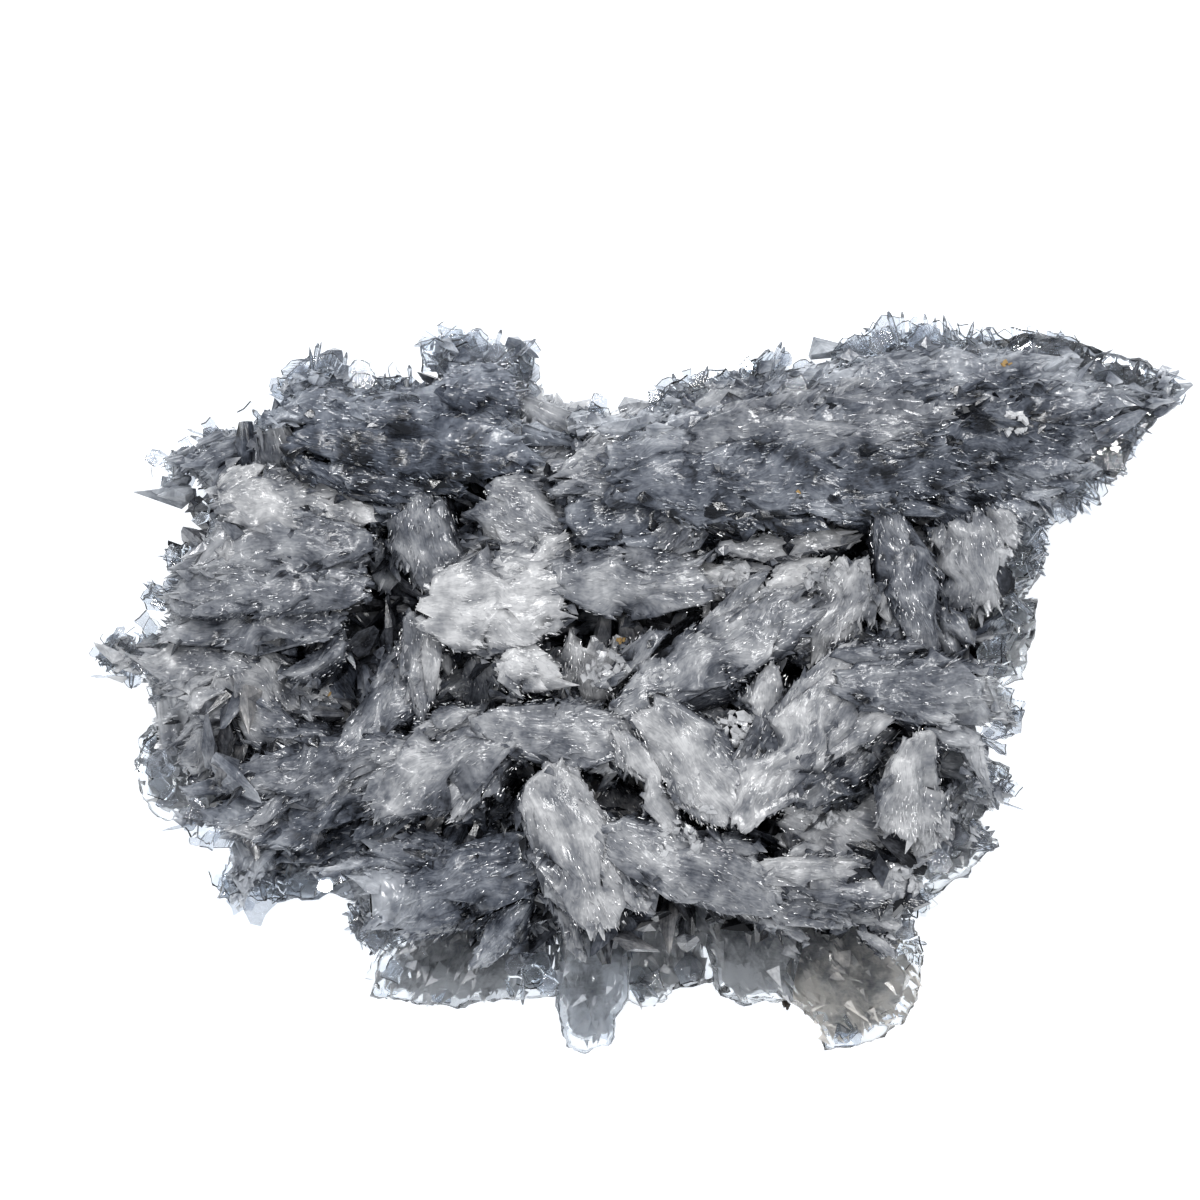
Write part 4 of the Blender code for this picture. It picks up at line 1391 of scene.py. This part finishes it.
PLATES = (
    Plate("broad_plate", 12, 3.5, (0, 0.10), S.ASH, (
        (-34.5, -40), (-33, -35), (-28, -30.5), (-24, -22), (-12.5, -24), (-9, -34.5), (-9.5, -39.5),
        (-17.5, -40.5), (-25.5, -41.5), (-29, -40.5))),
    Plate("tongue_plate", 17, 4.5, (0, 0.16), S.SMOKE, (
        (-9, -24), (0.5, -24), (-1.5, -40), (-3.5, -45.5), (-6.5, -47), (-9, -46), (-10.5, -41.5))),
    Plate("clear_shelf", 9, 2.5, (0, 0.05), S.PEARL, (
        (-2.5, -25), (8.5, -25), (10, -38.5), (4.5, -39), (3.5, -41), (0.5, -41.5), (-2, -40))),
    Plate("inner_skirt", 14, 4, (0.02, 0.14), S.ASH, ((7.5, -24), (22, -24), (20, -40.5), (13, -41), (10, -39))),
    Plate("disc_plate", 12, 3, (-0.03, 0.12), S.SEPIA, (
        (12.5, -24), (31, -22), (35.5, -31), (37, -35), (36.5, -39), (34.5, -43), (31, -45.5), (24, -47),
        (23.5, -44), (21, -41.5), (15.5, -38.5))),
    Plate("wing_tip", 25, 5, (-0.14, 0), S.ASH, (
        (44, 44), (51, 45), (59, 43), (64.5, 41.5), (69, 38), (65.5, 33.5), (61, 27), (44, 26)), 0.5),
    Plate("wing_tip_low", 19, 4, (-0.10, 0.05), S.SMOKE, (
        (44, 40), (58, 40), (65, 37), (62, 31), (57, 25), (50, 20), (44, 20)), 0.4),
    Plate("blue_ledge", 10, 3.5, (0.02, 0.06), S.SLATE, (
        (-52, -16), (-30.5, -14), (-32, -27.5), (-39.5, -27), (-46, -28), (-49, -27), (-54, -27.5),
        (-52.5, -22.5))),
    Plate("blue_flap", 11, 3, (0.05, 0), S.DOVE, (
        (-61, -3.5), (-48, -4), (-48, -14), (-56.5, -16.5), (-61, -17.5), (-63.5, -14.5), (-65, -10),
        (-63.5, -6.5))),
    Plate("east_window", 22, 3, (-0.08, 0), S.PEARL, ((38, 10.5), (51, 11), (50, 5), (49, 1), (44.5, -0.5), (38, 0))),
    Plate("wing_flap", 18, 3, (-0.06, 0), S.DOVE, ((40, 17), (52.5, 17.5), (51.5, 13.5), (49, 10.5), (40, 10))),
    Plate("saddle_ledge", 20, 5, (0, -0.04), S.ASH, (
        (-16, 20), (-16, 31), (-10, 34), (-2, 34.5), (4, 38), (12, 40), (12, 28)), 0.5),
    Plate("shelf_rim", 15, 3, (-0.05, 0), S.DOVE, (
        (36, -8), (48, -10), (47, -15), (42, -18), (46.5, -20), (42, -24.5), (37, -27), (34, -22))),
)


@dataclass(frozen=True)
class Undergrowth:
    """The crystals on the floor of the hollows."""

    crowd: int = 1700  # how many are tried
    levels: tuple = (19, 28)  # lowest and highest
    steep: tuple = (-0.1, 0.5)  # least and greatest rise along them
    length: tuple = (3, 10)  # shortest and longest
    width: tuple = (1.4, 4.2)  # least and greatest
    height: tuple = (5, 7)  # least and greatest
    tones: tuple = (0.0, 0.48)  # darkest and palest
    lift: float = 0.03  # painted shade: how much paler each millimetre of height makes them, so that the low ones in the hollows are darker
    even: float = 25.0  # the height where it makes no difference
    tilt: float = 0.25  # how unevenly their backs face

    def build(self, stocks: list[Stock]) -> Object:
        """Builds them.

        Args:
            stocks: the shapes to choose from.

        Returns:
            The piece.
        """
        heap = Heap()
        draw = np.random.default_rng(31)
        spots = strewn_inside(BELLY, self.crowd, draw)
        count = len(spots)
        points = np.concatenate([spots, draw.uniform(*self.levels, (count, 1))], 1)
        heading = draw.uniform(0, math.tau, count)
        along = np.stack([np.cos(heading), np.sin(heading), draw.uniform(*self.steep, count)], 1)
        sizes = spread(draw, count, self.length, self.width, self.height)
        places = stood(points, along, (0, 0, 1) + draw.normal(0, self.tilt, (count, 3)), sizes)
        # Painted shade: the lower crystals are darker, and each is paler up its back as painted light.
        tones = draw.uniform(*self.tones, count) + self.lift * (points[:, 2] - self.even)
        warmths = draw.uniform(0.2, 1.0, count)
        heap.scatter(stocks, draw.integers(0, len(stocks), count), places, tones, warmths, (0.0, 0.15))
        return heap.joined("undergrowth", smooth=False)


@dataclass(frozen=True)
class RootPlates:
    """The plates that splay out from under the crests, all round the base."""

    count: int = 420  # how many there are
    shares: tuple = (0.62, 0.90)  # how far out they root, over the belly's outline
    levels: tuple = (3.5, 17)  # lowest and highest, before those further out are raised
    steep: tuple = (-0.25, 0.35)  # least and greatest rise along them
    length: tuple = (6, 13)  # shortest and longest
    width: tuple = (3.5, 8)  # least and greatest
    height: tuple = (1.5, 3)  # least and greatest
    tones: tuple = (0.18, 0.55)  # darkest and palest
    stray: float = 0.35  # how unevenly they point
    tilt: float = 0.8  # how unevenly their backs face

    def build(self, stocks: list[Stock]) -> Object:
        """Builds them.

        Args:
            stocks: the shapes to choose from.

        Returns:
            The piece.
        """
        heap = Heap()
        count = self.count
        draw = np.random.default_rng(18)
        plan, _ = strewn_along(np.array(BELLY + BELLY[:1], float), count, draw)
        share = draw.uniform(*self.shares, count)
        outward = plan - np.array(CENTRE)
        height = draw.uniform(*self.levels, count) * (0.4 + share)
        points = np.concatenate([np.array(CENTRE) + outward * share[:, None], height[:, None]], 1)
        along = np.concatenate([unit(outward), draw.uniform(*self.steep, (count, 1))], 1)
        along[:, :2] += draw.normal(0, self.stray, (count, 2))
        up = (0, 0, -1) + draw.normal(0, self.tilt, (count, 3))
        sizes = spread(draw, count, self.length, self.width, self.height)
        places = stood(points, along, up, sizes)
        tones = draw.uniform(*self.tones, count)
        warmths = draw.uniform(0.2, 0.8, count)
        # Painted light: each plate is paler towards its outer tip and darker at its root.
        heap.scatter(stocks, draw.integers(0, len(stocks), count), places, tones, warmths, (0.15, 0.0))
        return heap.joined("root_plates", smooth=False)


class Ground:
    """What carries the rim: the crests' upper surface."""

    def __init__(self, pieces: list[Object]) -> None:
        """Gathers the faces.

        Args:
            pieces: the crests' bodies.
        """
        points, faces = [], []
        for piece in pieces:
            start = len(points)
            points += [vertex.co / MM for vertex in piece.data.vertices]
            faces += [[start + corner for corner in face.vertices] for face in piece.data.polygons]
        self.tree = BVHTree.FromPolygons(points, faces)

    def level(self, x: float, y: float, inward: Vector, otherwise: float) -> float:
        """Height of the surface at a plan position, or as close to it as there is any.

        Args:
            x, y: the plan position.
            inward: the way to the cluster's middle.
            otherwise: the height to give where nothing is found.

        Returns:
            The height in millimetres.
        """
        for step in INWARD_STEPS:
            above = Vector((x + inward.x * step, y + inward.y * step, OVERHEAD))
            hit = self.tree.ray_cast(above, Vector((0, 0, -1)))[0]
            if hit:
                return hit.z
        return otherwise


INWARD_STEPS = (0.0, 1.0, 2.0, 3.5, 5.0)  # how far inwards a surface is looked for, in millimetres
OVERHEAD = 60.0  # a height above everything, in millimetres


@dataclass(frozen=True)
class Fringe:
    """The clear scales and spikes along the cluster's outline. Lengths are in millimetres."""

    ground: Ground  # what they grow on
    scales: list[Stock]  # shapes of scales to choose from
    spikes: list[Stock]  # shapes of spikes to choose from
    sink: tuple = (0.2, 5.0)  # least and greatest depth below the surface
    turn: float = 28.0  # how unevenly they point outwards, in degrees
    scale_width: tuple = (0.6, 1.1)  # least and greatest width of scales, over their length
    scale_height: tuple = (0.08, 0.22)  # least and greatest height of scales
    spike_width: tuple = (0.35, 0.9)  # least and greatest width of spikes
    spike_height: tuple = (0.5, 1.1)  # least and greatest height of spikes
    spike_length: float = 1.3  # of spikes, over that of scales
    spike_band: float = 0.5  # of the band that spikes fill, over that of scales
    rooted: float = 0.45  # how far inwards they root, over their length
    fade: float = 0.03  # how much darker each millimetre inwards makes them

    def grown(self, stretch: Stretch, spiky: bool, crowd: float, seed: int) -> tuple[np.ndarray, np.ndarray]:
        """Places the crystals of one stretch.

        Args:
            stretch: the stretch of outline.
            spiky: whether they are spikes or scales.
            crowd: scales for each square millimetre.
            seed: picks the arrangement.

        Returns:
            Their matrices and how far each lies from the outline.
        """
        band, shortest, longest, lean, spikes = stretch.rim.value
        uneven_lean = math.tan(math.radians(lean))
        ring = np.array(stretch.points, float)
        steps = np.linalg.norm(np.diff(ring, axis=0), axis=1)
        draw = np.random.default_rng(list(stretch.name.encode()) + [seed])
        thinned = SHEET_SHARE if stretch.rim is Rim.SHEETS else 1.0
        count = int(np.cumsum(steps)[-1] * (spikes if spiky else band * crowd * thinned))
        plan, segment = strewn_along(ring, count, draw)
        way = (np.diff(ring, axis=0) / steps[:, None])[segment]
        outward = np.stack([-way[:, 1], way[:, 0], np.zeros(count)], 1)
        length = draw.uniform(shortest, longest, count) * (self.spike_length if spiky else 1.0)
        inset = draw.random(count) * band * (self.spike_band if spiky else 1.0) + self.rooted * length
        points = np.concatenate([plan, np.zeros((count, 1))], 1) - outward * inset[:, None]
        levels = [self.ground.level(*point[:2], Vector(-facing), stretch.level)
                  for point, facing in zip(points, outward)]
        points[:, 2] = np.array(levels) - draw.uniform(*self.sink, count) * (0.4 + 0.6 * draw.random(count))
        turn = np.radians(draw.normal(0, self.turn, count))
        along = outward * np.cos(turn)[:, None] + np.cross((0, 0, 1), outward) * np.sin(turn)[:, None]
        along[:, 2] += draw.normal(0.0, uneven_lean, count)
        up = (0, 0, 1) + draw.normal(0, uneven_lean, (count, 3))
        if spiky:
            across, height = draw.uniform(*self.spike_width, count), draw.uniform(*self.spike_height, count)
        else:
            across, height = length * draw.uniform(*self.scale_width, count), draw.uniform(*self.scale_height, count)
        return stood(points, along, up, np.stack([length, across, height], 1)), inset

    def build(self, name: str, spiky: bool, crowd: float, seed: int) -> Object:
        """Builds the scales or spikes of every stretch.

        Args:
            name: the piece's name.
            spiky: whether it is the spikes or the scales.
            crowd: scales for each square millimetre.
            seed: picks the arrangement.

        Returns:
            The piece.
        """
        heap = Heap()
        stocks = self.spikes if spiky else self.scales
        for stretch in STRETCHES:
            places, inset = self.grown(stretch, spiky, crowd, seed)
            count = len(places)
            draw = np.random.default_rng(count)
            kinds = draw.integers(0, len(stocks), count)
            tones = draw.normal(1.0, 0.03, count) - self.fade * inset
            heap.scatter(stocks, kinds, places, tones, np.full(count, 0.25))
        return heap.joined(name, smooth=False)


SHEET_SHARE = 0.45  # of the scales that grow where a plate ends the outline


@dataclass(frozen=True)
class PlateStack:
    """Flat-lying plates, each a slab under low blades that grow outwards. Lengths are in millimetres."""

    scales: list[Stock]  # the blades to choose from
    cuts: int = 7  # how often a slab's edges are divided, so that it can be uneven
    swell: tuple = (0.45, 0.8)  # (changes for each millimetre, push) of the slabs' large unevenness
    ripple: tuple = (1.3, 0.35)  # the same of their small unevenness
    flatness: float = 0.7  # how much of that goes up and down, for each thickness
    glow: float = 6.5  # how far inwards light comes through the outline
    source: tuple = (-3.0, -5.0)  # plan position that the blades grow away from
    length: tuple = (1.2, 4.5)  # shortest and longest blade
    width: tuple = (0.2, 0.6)  # least and greatest, over a blade's length
    height: tuple = (0.4, 0.9)  # least and greatest of the blades
    sunk: tuple = (-0.5, 0.1)  # lowest and highest root of a blade, from the slab's level
    mottle: float = 0.04  # how unevenly pale the blades are
    stray: float = 0.3  # how unevenly they point
    tilt: float = 0.16  # how unevenly their backs face
    rooted: float = 0.3  # how far back they root, over their length

    def tones(self, plate: Plate, edge: np.ndarray) -> np.ndarray:
        """Pales a plate towards the cluster's outline.

        Args:
            plate: the plate.
            edge: how far inside the outline each point is.

        Returns:
            The tone at each point.
        """
        tone = plate.shade.value[0]
        return tone + (plate.edge_tone - tone) * np.exp(-((edge / self.glow) ** 2))

    def slabs(self, name: str, share: float, thickness: float, raised: float) -> Object:
        """Builds a slab for every plate.

        Args:
            name: the piece's name.
            share: how much of the plates' outlines it fills.
            thickness: of the slabs, over the plates'.
            raised: how far they lie above the plates' level.

        Returns:
            The piece.
        """
        heap = Heap()
        for plate in PLATES:
            slab = bmesh.new()
            middle = Vector((*np.mean(plate.outline, axis=0), 0))
            ring = [slab.verts.new((x, y, 0)) for x, y in plate.outline]
            lower, _ = extruded(slab, [slab.faces.new(ring)])
            bmesh.ops.translate(slab, vec=(0, 0, -plate.thickness * thickness), verts=lower)
            bmesh.ops.triangulate(slab, faces=slab.faces)
            bmesh.ops.subdivide_edges(slab, edges=slab.edges, cuts=self.cuts, use_grid_fill=True)
            for vertex in slab.verts:
                away = vertex.co - middle
                rise = away.x * plate.slope[0] + away.y * plate.slope[1] + plate.level + raised
                push = Vector((0, 0, 0))
                for run, strength in (self.swell, self.ripple):
                    push += noise.noise_vector(vertex.co * run) * strength
                drawn = away * Vector((share, share, 1.0))
                vertex.co = middle + drawn + push * Vector((1, 1, self.flatness * thickness))
                vertex.co.z += rise
            stock = Stock(slab)
            edge = inward_offset(stock.points[:, :2])[0].clip(0)
            heap.add(stock, np.eye(4)[None], self.tones(plate, edge), np.array([plate.shade.value[1]]))
        return heap.joined(name, smooth=True)

    def shingles(self, name: str, crowd: float) -> Object:
        """Builds the blades that lie on the slabs and grow outwards.

        Args:
            name: the piece's name.
            crowd: blades for each square millimetre.

        Returns:
            The piece.
        """
        heap = Heap()
        for plate in PLATES:
            draw = np.random.default_rng(list(plate.name.encode()))
            ring = np.array(plate.outline, float)
            spots = strewn_inside(plate.outline, int(crowd * np.prod(ring.max(0) - ring.min(0))), draw)
            edge = inward_offset(spots)[0].clip(0)
            count = len(spots)
            away = spots - ring.mean(0)
            level = plate.level + away @ np.array(plate.slope) + draw.uniform(*self.sunk, count)
            length = draw.uniform(*self.length, count) * np.interp(edge, (0, 3), (0.5, 1.0))
            across = length * draw.uniform(*self.width, count)
            sizes = np.stack([length, across, draw.uniform(*self.height, count)], 1)
            along = np.concatenate([spots - self.source, np.zeros((count, 1))], 1)
            along = unit(along) + draw.normal(0, self.stray, (count, 3)) * (1, 1, 0.3)
            up = (*(-np.array(plate.slope)), 1) + draw.normal(0, self.tilt, (count, 3))
            points = np.concatenate([spots, level[:, None]], 1) - unit(along) * (self.rooted * length[:, None])
            places = stood(points, along, up, sizes)
            kinds = draw.integers(0, len(self.scales), count)
            tones = self.tones(plate, edge) + draw.normal(0, self.mottle, count)
            heap.scatter(self.scales, kinds, places, tones, np.full(count, plate.shade.value[1]))
        return heap.joined(name, smooth=False)


# ---------------- Small grains


GRIT_RUN = (1800, 1800, 1800)  # how often the grains of earth change, for each metre
GRIT_HEIGHT = 0.1 * MM


@dataclass(frozen=True)
class Stain:
    """An earthy mineral that colours the grains caught between the crystals."""

    name: str  # the material's name
    pale: tuple  # its colour where it is thin
    deep: tuple  # its colour where it is thick

    def material(self) -> Material:
        """Makes the material.

        Returns:
            The material.
        """
        made, nodes, shader = new_material(self.name)
        grain = nodes.noise(nodes.add("ShaderNodeTexCoord").outputs["Object"], GRIT_RUN, 3.0, 0.5)
        relief = {"Height": grain, "Distance": GRIT_HEIGHT, "Strength": 1.0}
        nodes.feed(shader, {
            "Base Color": nodes.mixed("MIX", grain, self.deep, self.pale),
            "Normal": nodes.add("ShaderNodeBump", relief).outputs["Normal"],
            "Roughness": nodes.maths("MULTIPLY_ADD", grain, 0.5, 0.3),
        })
        return made


@dataclass(frozen=True)
class Grains:
    """Small crystals or grains heaped at a few places."""

    name: str  # the piece's name
    spots: tuple  # (X, Y, reach along X, reach along Y, how many) of each heap
    size: tuple  # shortest and longest grain
    tilt: float  # how unevenly they lie
    tone: float  # how pale they are
    inner: float = 0.0  # how far out they start, as a share of the reach; 0 fills the middle
    depth: float = 0.8  # how far up they pile
    stray: float = 0.6  # how far they turn from lying around the middle
    slimness: tuple = (0.4, 0.7)  # least and greatest width, as a share of the length
    flatness: float = 0.4  # their height, as a share of the length

    def build(self, ground: Ground, stocks: list[Stock]) -> Object:
        """Builds the heaps.

        Args:
            ground: what they lie on.
            stocks: the shapes to choose from.

        Returns:
            The piece.
        """
        heap = Heap()
        draw = np.random.default_rng(list(self.name.encode()))
        for x, y, wide, deep, count in self.spots:
            around = draw.uniform(0, math.tau, count)
            away = draw.uniform(self.inner, 1.0, count) if self.inner else draw.random(count) ** 0.5
            plan = np.stack([x + wide * away * np.cos(around), y + deep * away * np.sin(around)], 1)
            level = ground.level(x, y, Vector((0, 0, 0)), PLATE_LEVEL)
            points = np.concatenate([plan, draw.uniform(level, level + self.depth, (count, 1))], 1)
            heading = around + math.pi / 2 + draw.normal(0, self.stray, count)
            along = np.stack([np.cos(heading), np.sin(heading), draw.normal(0, self.tilt, count)], 1)
            length = draw.uniform(*self.size, count)
            sizes = np.stack([length, length * draw.uniform(*self.slimness, count), length * self.flatness], 1)
            places = stood(points, along, (0, 0, 1) + draw.normal(0, self.tilt, (count, 3)), sizes)
            kinds = draw.integers(0, len(stocks), count)
            heap.scatter(stocks, kinds, places, np.full(count, self.tone), np.full(count, 0.5))
        return heap.joined(self.name, smooth=False)


PLATE_LEVEL = 11.5  # of the plates under the crests, in millimetres
OCHRE_SPOTS = (
    (46.8, 41.1, 0.7, 0.2, 5), (20.2, 25.1, 0.7, 0.7, 6), (-2.2, 5.9, 0.5, 0.5, 5), (16.3, -14.3, 0.6, 0.4, 5),
    (-39.5, -1.0, 0.2, 0.2, 2), (10.5, -8.0, 0.4, 0.3, 3),
)
CHIP_SPOTS = ((18.9, -41.2, 0.5, 0.7, 5),)
DRUSE_RING = ((47.7, 33.4, 1.7, 1.1, 34),)
DRUSE_SPOTS = (
    (12.0, -7.5, 3.6, 4.4, 130), (3.0, 1.0, 2.0, 2.0, 30), (12.5, 13.4, 4.0, 2.0, 60), (24.0, 14.0, 3.0, 1.6, 40),
    (22.0, -17.0, 3.5, 1.0, 40), (8.5, -14.0, 1.6, 2.0, 24), (-4.0, 2.0, 2.6, 2.6, 40), (33.0, -25.0, 3.0, 2.0, 30),
    (4.0, -20.0, 4.0, 3.0, 60),
)
DARK_PLATES = ((46.0, 13.0, 2.2, 0.7, 5), (33.5, -27.0, 3.6, 0.8, 8), (29.0, -24.0, 2.4, 0.6, 5))


# ---------------- Studio


@dataclass(frozen=True)
class Studio:
    """Plain pale floor, soft light from above and a camera straight overhead."""

    paint: tuple = (0.86, 0.88, 0.9, 1)  # the floor's colour
    matt: float = 0.6  # the floor's roughness
    room: float = 8.0  # side of the floor, in metres
    glow: tuple = ((0.94, 0.97, 1.0, 1), 0.75)  # the colour and strength of the floor's own light
    sky: tuple = ((0.9, 0.94, 1.0, 1), 0.25)  # the colour and strength of the world's light
    fill: tuple = ((-0.6, -0.5, 1.2), 0.8, 1.5)  # (place, side, power) of the broad light, in metres and watts
    lamp: tuple = (0.12, 1.8)  # (side, power) of each small one
    lens: float = 347  # the camera's lens, in millimetres
    eye: tuple = (-0.0048, 0.011, 1.5)  # where the camera stands, in metres

    def build(self) -> None:
        """Sets up floor, lights, world and camera."""
        bpy.context.scene.view_settings.view_transform = "Standard"
        self.floor()
        self.world()
        self.area("fill", *self.fill)
        for number, place in enumerate(LAMPS):
            self.area(f"lamp_{number}", tuple(place), *self.lamp)
        self.camera()

    def floor(self) -> None:
        """Lays the floor, which glows a little so that its shadows stay soft."""
        bpy.ops.mesh.primitive_plane_add(size=self.room)
        floor = bpy.context.object
        floor.name = "floor"
        paint, nodes, shader = new_material("floor")
        nodes.feed(shader, {"Base Color": self.paint, "Roughness": self.matt})
        nodes.feed(shader, dict(zip(("Emission Color", "Emission Strength"), self.glow)))
        floor.data.materials.append(paint)

    def world(self) -> None:
        """Gives the world its pale light."""
        world = bpy.data.worlds.new("studio")
        world.use_nodes = True
        back = world.node_tree.nodes["Background"]
        Nodes(world.node_tree).feed(back, dict(zip(("Color", "Strength"), self.sky)))
        bpy.context.scene.world = world

    def camera(self) -> None:
        """Hangs the camera, which looks straight down."""
        eye = bpy.data.cameras.new("camera")
        eye.lens = self.lens
        eye.clip_end = 20
        camera = bpy.data.objects.new("camera", eye)
        camera.location = self.eye
        bpy.context.scene.collection.objects.link(camera)
        bpy.context.scene.camera = camera

    @staticmethod
    def area(name: str, place: tuple, size: float, power: float) -> None:
        """Adds a square light that looks at the origin.

        Args:
            name: the light's name.
            place: where it stands, in metres.
            size: its side, in metres.
            power: its power in watts.
        """
        lamp = bpy.data.lights.new(name, "AREA")
        lamp.size = size
        lamp.energy = power
        made = bpy.data.objects.new(name, lamp)
        made.location = place
        made.rotation_euler = (ORIGIN - made.location).to_track_quat("-Z", "Y").to_euler()
        bpy.context.scene.collection.objects.link(made)


# ---------------- The cluster, put together


class Look(Enum):
    """The finishes of the pieces."""

    MILKY = auto()
    BRIGHT = auto()
    FROSTED = auto()
    CLOUDY = auto()
    CLEAR = auto()
    OCHRE = auto()
    EARTH = auto()


COARSE = {Region.WING: 0.95, Region.SLATE: 0.9}  # the grain where the bundles of blades are larger


class Cluster:
    """The pieces of the cluster, each with its finish."""

    def __init__(self) -> None:
        """Makes the finishes and the small shapes that the pieces share."""
        clouds = cloud_group()
        self.looks = {
            Look.MILKY: MilkyCrystal("milky_barite", 0.0, 0.16, 1.5, 0.45).material(clouds),
            Look.BRIGHT: MilkyCrystal("bright_barite", 0.0, 0.05, 1.3, 0.1).material(clouds),
            Look.FROSTED: MilkyCrystal("frosted_barite", 0.92, 0.08, 0.5, 0.1).material(clouds),
            Look.CLOUDY: MilkyCrystal("plate_barite", 0.0, 0.12, 2.2, 0.3).material(clouds),
            Look.CLEAR: ClearCrystal("clear_barite", 0.03, (0.94, 0.97, 1.0, 1), 0.02).material(),
            Look.OCHRE: Stain("ochre_grains", (0.62, 0.42, 0.17, 1), (0.36, 0.20, 0.05, 1)).material(),
            Look.EARTH: Stain("dark_matrix", (0.07, 0.055, 0.04, 1), (0.02, 0.016, 0.012, 1)).material(),
        }
        self.feathers = [feather(seed) for seed in range(5)]
        self.flakes = [flake(seed, 11) for seed in range(6)]
        self.needle = [sliver()]

    def add(self, piece: Object, look: Look) -> None:
        """Dresses a finished piece, lets it ride with the cluster and reports it.

        Args:
            piece: the piece.
            look: its finish.
        """
        piece.data.materials.append(self.looks[look])
        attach(piece, BODY)
        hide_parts(NODE)
        triangles = sum(len(face.vertices) - 2 for face in piece.data.polygons)
        LOG.info("%s: %d triangles", piece.name, triangles)

    def kinds(self, habit: Habit) -> tuple:
        """Describes what grows on the crests.

        Args:
            habit: how barite grows here.

        Returns:
            The kinds of crystals, each with its finish.
        """
        # Each kind's shading paints shade at its root and underside and light at its tip and back.
        fans = Crystals(
            "fans", self.feathers, habit.fans, length=(4.5, 9.0), width=(2.2, 4.4), height=(2.2, 3.4),
            sunk=(0.4, 1.4), lift=(0.06, 0.28), stray=0.22, roll=0.25, tone=-0.02, shading=(0.12, 0.20),
        )
        feathers = Crystals(
            "feathers", self.feathers, habit.feathers, length=(1.8, 4.8), width=(0.8, 2.2), height=(1.0, 1.9),
            sunk=(0.0, 0.6), lift=(0.04, 0.26), stray=0.20, roll=0.25, tone=-0.03, shading=(0.17, 0.27), edge=0.3,
        )
        barbs = Crystals(
            "barbs", self.needle, habit.barbs, length=(0.8, 2.8), width=(0.3, 0.85), height=(0.4, 0.9),
            sunk=(-0.1, 0.2), lift=(0.05, 0.35), stray=0.28, roll=0.35, tone=-0.02, shading=(0.22, 0.10), edge=1.0,
        )
        slivers = Crystals(
            "slivers", self.needle, habit.slivers, length=(0.35, 1.3), width=(0.11, 0.22), height=(0.2, 0.4),
            sunk=(-0.3, 0.0), lift=(-0.05, 0.2), stray=0.14, roll=0.3, tone=0.08, fade=5.0, clump=0.5,
        )
        # The sparks are painted highlights as well: their tone is far paler than their crest's, besides facing the
        # lamps so that they glint.
        sparks = Crystals(
            "sparks", self.needle, habit.sparks, length=(0.35, 1.3), width=(0.11, 0.23), height=(0.2, 0.4),
            sunk=(-0.7, -0.2), lift=(-0.05, 0.2), stray=0.12, roll=0.015, tone=0.40, fade=5.0, glances=True,
            clump=1.0,
        )
        milky = ((kind, Look.MILKY) for kind in (fans, feathers, barbs))
        return *milky, (slivers, Look.BRIGHT), (sparks, Look.BRIGHT)

    def core(self) -> None:
        """Builds the mound that everything grows from."""
        self.add(MassiveCore().build(), Look.MILKY)

    def crests(self) -> Ground:
        """Builds the crests region by region, and what grows on them.

        Returns:
            The crests' surface, which carries the rim.
        """
        habit = Habit()
        kinds = self.kinds(habit)
        carriers = []
        for region in Region:
            group = CrestGroup(region, replace(habit, grain=COARSE.get(region, habit.grain)))
            carriers.append(group.crests())
            self.add(carriers[-1], Look.MILKY)
            for kind, look in kinds:
                self.add(group.grown(kind), look)
        return Ground(carriers)

    def rim(self, ground: Ground) -> None:
        """Builds what closes the underside and what fringes the outline.

        Args:
            ground: what the fringe grows on.
        """
        self.add(Undergrowth().build(self.feathers), Look.MILKY)
        self.add(RootPlates().build(self.feathers), Look.MILKY)
        fringe = Fringe(ground, self.flakes, [plume(), spade()])
        self.add(fringe.build("rim_scales", False, 0.3, 1), Look.CLEAR)
        self.add(fringe.build("rim_frost", False, 0.22, 2), Look.FROSTED)
        self.add(fringe.build("rim_spikes", True, 0, 3), Look.FROSTED)

    def plates(self) -> None:
        """Builds the slabs that show between the crests."""
        plates = PlateStack(self.needle)
        self.add(plates.slabs("plate_cores", 0.79, 1.0, -0.5), Look.CLOUDY)
        self.add(plates.slabs("plate_sheets", 1.0, 0.2, 0.0), Look.CLEAR)
        self.add(plates.shingles("plate_scales", 0.7), Look.CLOUDY)

    def earth(self, ground: Ground) -> None:
        """Builds the ochre and dark grains caught between the crystals.

        Args:
            ground: what they lie on.
        """
        specks = Grains("ochre_specks", OCHRE_SPOTS, size=(0.5, 1.1), tilt=0.2, tone=0.5)
        chip = Grains("matrix_chip", CHIP_SPOTS, size=(0.7, 1.4), tilt=0.3, tone=0.1)
        self.add(specks.build(ground, self.flakes), Look.OCHRE)
        self.add(chip.build(ground, self.flakes), Look.EARTH)

    def druse(self, ground: Ground) -> None:
        """Builds the small crystals that line the hollows.

        Args:
            ground: what they lie on.
        """
        tablets = [tablet()]
        ring = Grains("druse_ring", DRUSE_RING, size=(0.7, 1.3), tilt=0.5, tone=1.0, inner=0.85)
        pale = Grains("druse", DRUSE_SPOTS, size=(0.6, 1.6), tilt=0.6, tone=0.8)
        dark = Grains("dark_tablets", DARK_PLATES, size=(2.5, 4.5), tilt=0.15, tone=0.12)
        for heap in (ring, pale, dark):
            self.add(heap.build(ground, tablets), Look.BRIGHT)


NOISE_SEED = 11  # keeps the uneven surfaces the same on every run


def main() -> None:
    """Builds the cluster from the inside out, then its studio."""
    logging.basicConfig(level=logging.INFO, format="%(message)s")
    noise.seed_set(NOISE_SEED)
    cluster = Cluster()
    cluster.core()
    ground = cluster.crests()
    cluster.rim(ground)
    cluster.plates()
    cluster.earth(ground)
    cluster.druse(ground)
    Studio().build()


if __name__ == "__main__":
    main()
